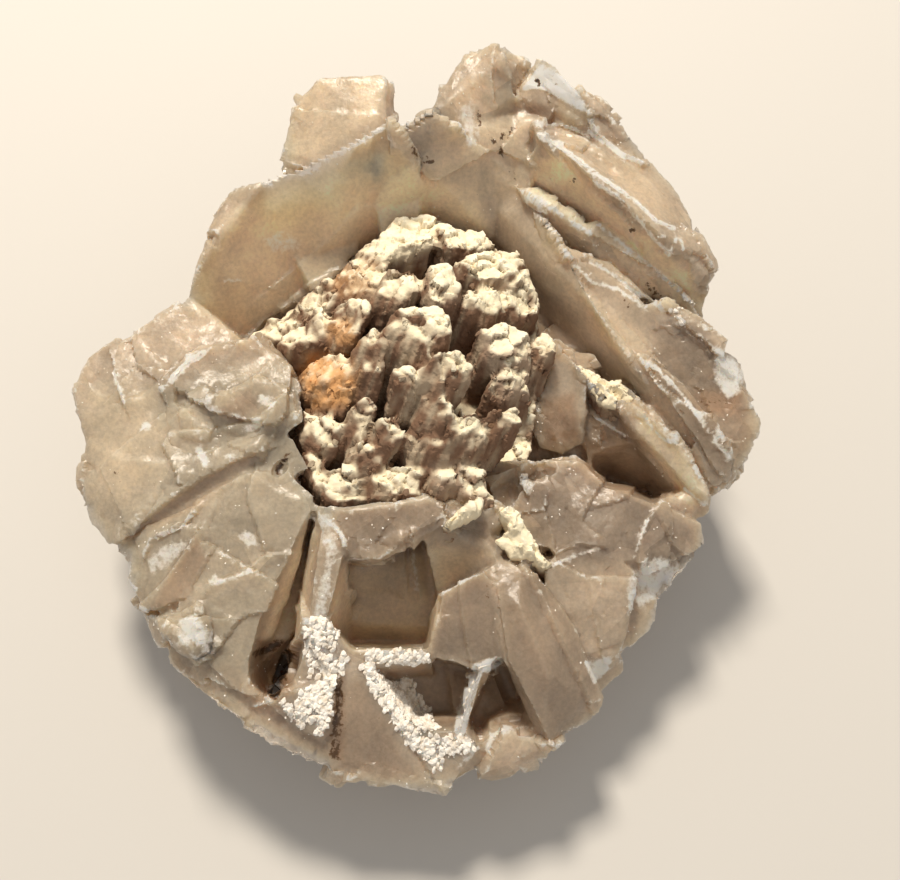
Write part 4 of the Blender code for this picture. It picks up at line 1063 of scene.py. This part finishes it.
def chalcedonyMaterial():
    k = chalcedonyLook
    material, tree, shader = stoneShader("cloudy chalcedony")
    cloud = placeGroup(tree, cloudGroup, Size=4.5, Fine=0.35)
    place = tree.nodes.new("ShaderNodeTexCoord")
    away = tree.nodes.new("ShaderNodeVectorMath")
    away.operation = "SUBTRACT"
    away.inputs[1].default_value = heart
    outwards = tree.nodes.new("ShaderNodeVectorMath")
    outwards.operation = "NORMALIZE"
    tree.links.new(place.outputs["Object"], away.inputs[0])
    tree.links.new(away.outputs[0], outwards.inputs[0])
    around = placeGroup(tree, facetGroup, Size=k["facetSize"], Squeeze=k["facetStretch"])
    tree.links.new(outwards.outputs[0], around.inputs["Run"])
    rimwards = placeGroup(tree, facetGroup, Size=k["facetSize"], Squeeze=k["facetStretch"], Run=eastRun)
    blend = []
    for output in ("Height", "Tone"):
        node = tree.nodes.new("ShaderNodeMix")
        tree.links.new(maskOutput(tree, "east"), node.inputs["Factor"])
        tree.links.new(around.outputs[output], node.inputs[2])
        tree.links.new(rimwards.outputs[output], node.inputs[3])
        blend.append(node.outputs[0])
    facetHeight, facetTone = blend
    rough = spread(tree, maskOutput(tree, "smooth"), 0, 1, 1.0, 0.10)
    tone = mixColour(tree, k["pale"], k["cool"], maskOutput(tree, "cool"))
    # pinkish tint, partly painted shade
    tone = mixColour(tree, tone, k["lilac_and_shade"], maskOutput(tree, "lilac_and_shade"))
    # painted shade on faces that the light only grazes
    tone = mixColour(tree, tone, k["painted_grazing_shade"], maskOutput(tree, "painted_grazing_shade"))
    # brown, partly painted shade in the depths
    tone = mixColour(tree, tone, k["brown"], maskOutput(tree, "brown"))
    # painted light through the thin walls
    tone = mixColour(tree, tone, k["painted_through_light"], maskOutput(tree, "painted_through_light"))
    tone = mixColour(tree, tone, spread(tree, cloud.outputs["Cloud"], 0.3, 0.7, 0.80, 1.16), 1.0, "MULTIPLY")
    tone = mixColour(tree, tone, spread(tree, cloud.outputs["Speckle"], 0.3, 0.7, 0.88, 1.12), 1.0, "MULTIPLY")
    tone = mixColour(tree, tone, spread(tree, facetTone, 0.2, 0.8, 0.86, 1.14), rough, "MULTIPLY")
    # white frosting with painted highlight on rims and edges
    frostAndGlintMask = brokenMask(tree, "frost_and_glint", cloud.outputs["Speckle"], 0.9, 0.22, 0.62)
    # stains and painted shadow in holes and slots
    stainAndShadowMask = brokenMask(tree, "stain_and_shadow", cloud.outputs["Speckle"], 1.5, 0.32, 0.55)
    tone = mixColour(tree, tone, k["frost_and_glint"], frostAndGlintMask)
    stainAndShadowTone = mixColour(tree, k["stainAndShadowEdge"], k["stain_and_shadow"], spread(tree, maskOutput(tree, "stain_and_shadow"), 0.35, 0.8, 0, 1))
    tone = mixColour(tree, tone, stainAndShadowTone, stainAndShadowMask)
    tree.links.new(tone, shader.inputs["Base Color"])
    tree.links.new(spread(tree, frostAndGlintMask, 0, 1, k["roughness"], 0.75), shader.inputs["Roughness"])
    shader.inputs["Subsurface Weight"].default_value = k["subsurface"]
    shader.inputs["Subsurface Radius"].default_value = k["radius"]
    shader.inputs["Subsurface Scale"].default_value = k["depth"]
    shader.inputs["Transmission Weight"].default_value = k["transmission"]
    # the facets' height fades on the smooth faces, and a fine grain lies over everything
    grain = placeGroup(tree, grainGroup, Size=0.28, Pits=0.35)
    heights = tree.nodes.new("ShaderNodeMath")
    heights.operation = "MULTIPLY"
    tree.links.new(facetHeight, heights.inputs[0])
    tree.links.new(rough, heights.inputs[1])
    both = tree.nodes.new("ShaderNodeMath")
    both.operation = "MULTIPLY_ADD"
    both.inputs[1].default_value = 0.16
    tree.links.new(grain.outputs["Height"], both.inputs[0])
    tree.links.new(heights.outputs[0], both.inputs[2])
    bump = tree.nodes.new("ShaderNodeBump")
    bump.inputs["Distance"].default_value = k["facet"]
    tree.links.new(both.outputs[0], bump.inputs["Height"])
    tree.links.new(bump.outputs["Normal"], shader.inputs["Normal"])
    return material


skyOverBoth = skyField(["chalcedony", "matrix_core"], spacing=0.9 * mm, reach=16 * mm, rays=26)
print("stage: open sky worked out")
cloudyChalcedony = chalcedonyMaterial()
chalcedony = shapeChalcedony()
print("stage: chalcedony shaped", len(chalcedony.data.polygons), "faces")
paintChalcedony(chalcedony, skyOverBoth)
print("stage: chalcedony painted")


def crustAndGlintMaterial():
    material, tree, shader = stoneShader("white crust and glints")
    cloud = placeGroup(tree, cloudGroup, Size=2.0, Fine=0.5)
    grey = spread(tree, cloud.outputs["Speckle"], 0.42, 0.72, 0, 1)
    tone = mixColour(tree, chalcedonyLook["crustWhite"], chalcedonyLook["crustGrey"], grey)
    tree.links.new(tone, shader.inputs["Base Color"])
    shader.inputs["Roughness"].default_value = 0.75
    grainBump(tree, shader, 0.25, 0.5, 0.05 * mm, 0.6)
    return material


# lengths on the picture in pixels
edgeLook = {"strength": 0.88, "spacing": 2.5, "sway": 1.6, "widest": 4.5, "perPixel": 0.028 * mm,
            "sides": 5, "bend": 2400.0, "roughen": 0.22 * mm}


def layEdges(mesh, strokes, k):
    # the traced bright edges, partly frosting and partly painted highlight, laid on the stone as chains of points
    # with their thickness
    tree = treeOf(mesh)
    eye = sight["eye"]
    shape = bmesh.new()
    thick = shape.verts.layers.float.new("thick")
    for width, power, corners in strokes.values():
        if power < k["strength"]:
            continue
        last = None
        for (ax, ay), (bx, by) in zip(corners[:-1], corners[1:]):
            count = max(2, int(math.hypot(bx - ax, by - ay) / k["spacing"]))
            for i in range(count):
                t = i / count
                x, y = ax + (bx - ax) * t, ay + (by - ay) * t
                x += k["sway"] * math.sin(x * 0.9 + y * 0.37) * math.cos(y * 0.53)
                hit = tree.ray_cast(eye, tracedPlace(x, y, 0) - eye, 0.2)[0]
                if hit is None or hit.z < 1.0 * mm:
                    last = None
                    continue
                point = shape.verts.new(hit)
                fray = 0.5 + 0.5 * math.sin(x * 0.71 + y * 1.13)
                point[thick] = min(width, k["widest"]) * k["perPixel"] * (0.08 + 0.92 * fray ** 2) * power
                if last is not None and (last.co - hit).length < 1.0 * mm:
                    shape.edges.new((last, point))
                last = point
    made = bpy.data.meshes.new("edge lines")
    shape.to_mesh(made)
    shape.free()
    return made


def edgeTree():
    # gives each chain of points a ragged body
    tree = bpy.data.node_groups.new("ragged edges", "GeometryNodeTree")
    add, link = tree.nodes.new, tree.links.new
    tree.interface.new_socket("Geometry", in_out="INPUT", socket_type="NodeSocketGeometry")
    for label, kind in (("Thickness", "Float"), ("Roughen", "Float"), ("Finish", "Material")):
        tree.interface.new_socket(label, in_out="INPUT", socket_type="NodeSocket" + kind)
    tree.interface.new_socket("Geometry", in_out="OUTPUT", socket_type="NodeSocketGeometry")
    start, end = add("NodeGroupInput"), add("NodeGroupOutput")
    thick = add("GeometryNodeInputNamedAttribute")
    thick.data_type = "FLOAT"
    thick.inputs["Name"].default_value = "thick"
    times = add("ShaderNodeMath")
    times.operation = "MULTIPLY"
    link(thick.outputs["Attribute"], times.inputs[0])
    link(start.outputs["Thickness"], times.inputs[1])
    line = add("GeometryNodeMeshToCurve")
    link(start.outputs["Geometry"], line.inputs["Mesh"])
    body = add("GeometryNodeCurveToMesh")
    ring = add("GeometryNodeCurvePrimitiveCircle")
    ring.inputs["Resolution"].default_value = edgeLook["sides"]
    ring.inputs["Radius"].default_value = 1.0
    link(line.outputs[0], body.inputs["Curve"])
    link(ring.outputs["Curve"], body.inputs["Profile Curve"])
    link(times.outputs[0], body.inputs["Scale"])
    body.inputs["Fill Caps"].default_value = True
    noise = add("ShaderNodeTexNoise")
    noise.inputs["Scale"].default_value = edgeLook["bend"]
    centred = add("ShaderNodeVectorMath")
    centred.operation = "SUBTRACT"
    centred.inputs[1].default_value = (0.5, 0.5, 0.5)
    link(noise.outputs["Color"], centred.inputs[0])
    push = add("ShaderNodeVectorMath")
    push.operation = "SCALE"
    link(centred.outputs[0], push.inputs[0])
    link(start.outputs["Roughen"], push.inputs["Scale"])
    shift = add("GeometryNodeSetPosition")
    link(body.outputs[0], shift.inputs["Geometry"])
    link(push.outputs[0], shift.inputs["Offset"])
    solid = add("GeometryNodeRealizeInstances")
    link(shift.outputs[0], solid.inputs[0])
    finish = add("GeometryNodeSetMaterial")
    link(solid.outputs[0], finish.inputs["Geometry"])
    link(start.outputs["Finish"], finish.inputs["Material"])
    link(finish.outputs[0], end.inputs[0])
    return tree


def dressed(mesh, tree, name, **values):
    # what a Geometry Nodes tree makes of a mesh, as a plain mesh of its own
    piece = bpy.data.objects.new(name, mesh)
    bpy.context.scene.collection.objects.link(piece)
    step = piece.modifiers.new("made", "NODES")
    step.node_group = tree
    named = {s.name: s.identifier for s in tree.interface.items_tree if s.in_out == "INPUT"}
    for label, value in values.items():
        step[named[label]] = value
    return settle(piece)


whiteCrustAndGlint = crustAndGlintMaterial()
grainTree = scatterTree("scattered grains")
# white flecks: small white grains, partly painted glints for the sparkle of the rough faces
flecks = dressed(chalcedony.data, grainTree, "white_flecks", Mask="flecked", Density=chalcedonyLook["flecks"],
                 Seed=4, Small=chalcedonyLook["fleckSmall"], Large=chalcedonyLook["fleckLarge"], Lean=0.5,
                 Roughen=0.15 * mm, Finish=whiteCrustAndGlint)
crust = dressed(chalcedony.data, grainTree, "white_crust", Mask="crust", Density=chalcedonyLook["crust"], Seed=9,
                Small=chalcedonyLook["crustSmall"], Large=chalcedonyLook["crustLarge"], Lean=0.6,
                Roughen=0.4 * mm, Finish=whiteCrustAndGlint)
# the bright edges: white frosting, partly painted highlight
edges = dressed(layEdges(chalcedony.data, frostAndGlintLines, edgeLook), edgeTree(), "frost_and_glint_edges", Thickness=1.0,
                Roughen=edgeLook["roughen"], Finish=whiteCrustAndGlint)
for piece in (flecks, crust, edges):
    print("stage:", piece.name, len(piece.data.polygons), "faces")

# The cream core.

coreLook = {
    "voxel": 0.17 * mm,
    "triangles": 170000, "fuse": 0.2 * mm,
    "lump": 0.30 * mm, "lumpSize": 2.2 * mm,
    "crumb": 0.36 * mm, "crumbSize": 1.7 * mm,
    "grain": 0.07 * mm, "grainSize": 0.45 * mm,
    "groove": 0.30 * mm, "grooveSize": 0.60 * mm, "grooveStretch": 0.05,
    "lumpDepth": 3.0 * mm, "lumpSwell": 0.25 * mm,
    "wobble": 0.25 * mm, "wobbleSize": 1.2 * mm, "speckSize": 1.1 * mm,
    "sharpAngle": math.radians(28),
    "lean": unit(np.array((-0.30, -0.48, -0.83))),  # down along the shafts
    "cream": (1.0, 0.90, 0.66),
    "shade": (0.235, 0.14, 0.09),
    # painted shade in the cracks and hollows
    "deep": (0.15, 0.08, 0.04),
    "amber": (0.80, 0.44, 0.19),
    "grey": (0.46, 0.35, 0.26),
    # lighter colour on the convex bumps of the tops
    "paler_bumps": (0.97, 0.91, 0.74),
    "crumbs": 1.6e6, "crumbSmall": 0.15 * mm, "crumbLarge": 0.75 * mm,
}

# cream lumps caught between the blades: corners as pixels, each with its height in mm
caughtLumps = {
    "long stick": [(580, 368, 16.9), (588, 368, 17), (628, 406, 16.4), (624, 413, 16.2), (602, 402, 16.3)],
    "back stick": [(602, 382, 16.9), (620, 380, 17), (638, 396, 16.7), (630, 404, 16.4)],
    "lower stick": [(498, 542, 15.8), (508, 533, 16.2), (522, 531, 16.2), (551, 562, 15.6), (545, 568, 15.4),
                    (512, 554, 15.5)],
    "lower lump": [(503, 512, 16.9), (516, 514, 16.9), (523, 525, 16.6), (514, 530, 16.5)],
    "near crumb": [(445, 521, 18.2), (476, 503, 18), (474, 512, 17.9), (451, 527, 17.9)],
}

# traced places on the core
amberPatches = {
    "round boss": (8, 0.9, [(305, 355), (345, 352), (358, 372), (350, 405), (312, 408), (300, 380)]),
    "orange side": (5, 0.6, [(325, 322), (352, 318), (358, 345), (330, 346)]),
    "tan slope": (8, 0.35, [(325, 280), (352, 262), (382, 262), (372, 290), (342, 298)]),
}

greyPatches = {
    "grey block": (8, 0.7, [(478, 328), (512, 326), (531, 345), (531, 400), (502, 402), (485, 360)]),
    "upper shade": (6, 0.5, [(420, 255), (445, 262), (462, 300), (440, 304), (425, 285)]),
    "near sticks": (6, 0.5, [(430, 462), (495, 462), (495, 508), (440, 505)]),
}


# places kept free of the painted shade
brightPatches = {
    "east sticks": (3, 1.0, [(576, 362), (592, 362), (636, 394), (640, 404), (626, 416), (600, 406), (580, 376)]),
    "lower sticks": (3, 1.0, [(496, 506), (522, 508), (556, 562), (548, 574), (508, 560), (492, 544)]),
    "near crumb": (3, 1.0, [(438, 528), (446, 508), (480, 498), (484, 516), (452, 532)]),
    "cap": (8, 0.8, [(376, 232), (392, 218), (432, 220), (436, 246), (400, 262), (376, 262)]),
}


def shapeCore():
    k = coreLook
    lumps = [tracedLump(name, corners, k["lumpDepth"], k["lumpSwell"]) for name, corners in caughtLumps.items()]
    piece = joined([mergedCopy("matrix_core", "core_copy")] + lumps, "cream_core")
    voxelSkin(piece, k["voxel"] * 1.5)
    # swelling and shrinking closes the narrow gaps between the shafts
    setPlaces(piece.data, placesOf(piece.data) + normalsOf(piece.data) * k["fuse"])
    voxelSkin(piece, k["voxel"])
    mesh = piece.data
    setPlaces(mesh, placesOf(mesh) - blurred(normalsOf(mesh), edgesOf(mesh), 3) * k["fuse"] * 0.8)
    points, normals = placesOf(mesh), normalsOf(mesh)
    print("stage: core skin", len(points), "points")
    top = ramp(-(blurred(normals, edgesOf(mesh), 6) @ k["lean"]), 0.35, 0.75)
    # straight grooves along the leaning shafts, only on their sides
    shafts = stretched(points, k["lean"], k["grooveStretch"])
    grooves = np.abs(layeredNoise(shafts, k["grooveSize"], 41, 2)) - 0.4
    wobbles = [layeredNoise(points, k["wobbleSize"], 101 + i, 2) for i in range(3)]
    bent = points + np.stack(wobbles, axis=1) * k["wobble"]
    near, second, _, _ = brokenCells(bent, k["crumbSize"], 51)
    crumbs = flakeScars(bent, k["crumbSize"], 51) * 1.1 - (1 - ramp(second - near, 0.0, 0.14)) * 0.35
    crumbs += flakeScars(bent, k["crumbSize"] * 0.45, 57) * 0.35
    moved = layeredNoise(points, k["lumpSize"], 61, 2) * k["lump"]
    moved += crumbs * k["crumb"] * (0.2 + 0.8 * top)
    moved -= grooves * k["groove"] * (1 - 0.85 * top)
    moved += layeredNoise(points, k["grainSize"], 71, 2) * k["grain"]
    setPlaces(mesh, points + normals * moved[:, None])
    return thinned(piece, k["triangles"], np.clip(0.3 + normals[:, 2], 0, 1), 0.25)


def paintCore(piece, sky):
    k = coreLook
    mesh = piece.data
    points, normals, edges = placesOf(mesh), normalsOf(mesh), edgesOf(mesh)
    pixels = toPixels(points)
    bend = roundness(points, normals, edges, 6)
    side = 1 - ramp(-(blurred(normals, edges, 8) @ k["lean"]), 0.36, 0.78)
    speck = layeredNoise(points, k["speckSize"], 81, 3)
    streak = layeredNoise(stretched(points, k["lean"], k["grooveStretch"]), k["grooveSize"], 91, 2)
    openSky = skyShare(sky, points)
    bright = patchMask(pixels, brightPatches)
    shade = np.clip(side * (0.95 + 0.30 * streak) + speck * 0.12, 0, 1) * (1 - 0.85 * bright)
    # painted shade: darker in cracks and where little open sky is seen, kept off the bright patches
    deep = np.clip(ramp(-bend, 0.03, 0.16) * 0.7 + ramp(0.42 - openSky, 0, 0.3) * 0.6, 0, 1) * (1 - 0.8 * bright)
    saveMask(mesh, "shade", shade)
    saveMask(mesh, "deep", deep)
    saveMask(mesh, "amber", patchMask(pixels, amberPatches) * ramp(speck, -1.2, 0.3))
    saveMask(mesh, "grey", patchMask(pixels, greyPatches) * side)
    # lighter colour on the convex bumps of the tops
    saveMask(mesh, "paler_bumps", ramp(bend, 0.0, 0.10) * (1 - side))
    saveMask(mesh, "crumbly", ramp(speck, -0.2, 0.6) * ramp(normals[:, 2], 0.1, 0.5))
    saveDirection(mesh, "grow", np.tile(k["lean"], (len(points), 1)))
    mesh.shade_smooth()
    mesh.set_sharp_from_angle(angle=k["sharpAngle"])


def creamMaterial():
    k = coreLook
    material, tree, shader = stoneShader("cream chalk")
    cloud = placeGroup(tree, cloudGroup, Size=2.6, Fine=0.5)
    tone = mixColour(tree, k["cream"], k["shade"], maskOutput(tree, "shade"))
    tone = mixColour(tree, tone, k["amber"], maskOutput(tree, "amber"))
    tone = mixColour(tree, tone, k["grey"], maskOutput(tree, "grey"))
    tone = mixColour(tree, tone, spread(tree, cloud.outputs["Cloud"], 0.3, 0.7, 0.84, 1.1), 1.0, "MULTIPLY")
    # lighter colour on the convex bumps of the tops
    tone = mixColour(tree, tone, k["paler_bumps"], maskOutput(tree, "paler_bumps"))
    # painted shade in the cracks and hollows
    tone = mixColour(tree, tone, k["deep"], maskOutput(tree, "deep"))
    tree.links.new(tone, shader.inputs["Base Color"])
    shader.inputs["Roughness"].default_value = 0.95
    shader.inputs["Specular IOR Level"].default_value = 0.2
    grainBump(tree, shader, 0.3, 0.5, 0.10 * mm, 0.8)
    return material


creamChalk = creamMaterial()
core = shapeCore()
paintCore(core, skyOverBoth)
core.data.materials.append(creamChalk)
crumbs = dressed(core.data, grainTree, "core_crumbs", Mask="crumbly", Density=coreLook["crumbs"], Seed=14,
                 Small=coreLook["crumbSmall"], Large=coreLook["crumbLarge"], Lean=0.5, Roughen=0.5 * mm,
                 Finish=creamChalk)
print("stage: core finished", len(core.data.polygons), "faces, crumbs", len(crumbs.data.polygons))

for piece, node, slot in ((chalcedony, "chalcedony", "chalcedony"), (flecks, None, "chalcedony"),
                          (crust, None, "chalcedony"), (edges, None, "chalcedony"),
                          (core, "matrix_core", "cream_matrix"),
                          (crumbs, None, "cream_matrix")):
    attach(piece, "root")
    if node:
        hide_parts(node)

# Floor, lights and camera.

studio = {
    "floorSize": 1.2, "floorColour": (0.66, 0.64, 0.61), "sky": 0.36, "skyColour": (1.0, 0.97, 0.93),
    "keyFrom": (-0.12, 0.52, 0.84), "keyAway": 0.42, "keySize": 0.07, "keyPower": 1.9,
    "keyTint": (1.0, 0.90, 0.76),
    "fillFrom": (0.35, -0.75, 0.62), "fillAway": 0.5, "fillSize": 0.45, "fillPower": 0.34,
    "fillTint": (1.0, 0.92, 0.82),
}


def addLight(name, start, away, size, power, tint):
    light = bpy.data.lights.new(name, "AREA")
    light.size = size
    light.energy = power
    light.color = tint
    lamp = bpy.data.objects.new(name, light)
    lamp.location = Vector(start).normalized() * away
    lamp.rotation_euler = (-Vector(start)).to_track_quat("-Z", "Y").to_euler()
    bpy.context.scene.collection.objects.link(lamp)


def buildStudio():
    bpy.ops.mesh.primitive_plane_add(size=studio["floorSize"])
    floor = bpy.context.object
    floor.name = "pale_floor"
    material, _, shader = stoneShader("pale floor")
    shader.inputs["Base Color"].default_value = (*studio["floorColour"], 1)
    shader.inputs["Roughness"].default_value = 0.9
    floor.data.materials.append(material)
    for name in ("key", "fill"):
        addLight(name, *(studio[name + part] for part in ("From", "Away", "Size", "Power", "Tint")))
    world = bpy.data.worlds.new("soft room")
    world.use_nodes = True
    world.node_tree.nodes["Background"].inputs["Color"].default_value = (*studio["skyColour"], 1)
    world.node_tree.nodes["Background"].inputs["Strength"].default_value = studio["sky"]
    bpy.context.scene.world = world
    bpy.context.scene.view_settings.view_transform = "Standard"


def buildCamera():
    camera = bpy.data.objects.new("camera", bpy.data.cameras.new("camera"))
    bpy.context.scene.collection.objects.link(camera)
    camera.data.sensor_width = 36
    camera.data.lens = sight["focal"] / 900 * 36
    camera.data.clip_start = 0.005
    camera.matrix_world = Matrix.Translation(sight["eye"]) @ sightAxes.to_4x4()
    bpy.context.scene.camera = camera


buildStudio()
buildCamera()
print("stage: studio ready")
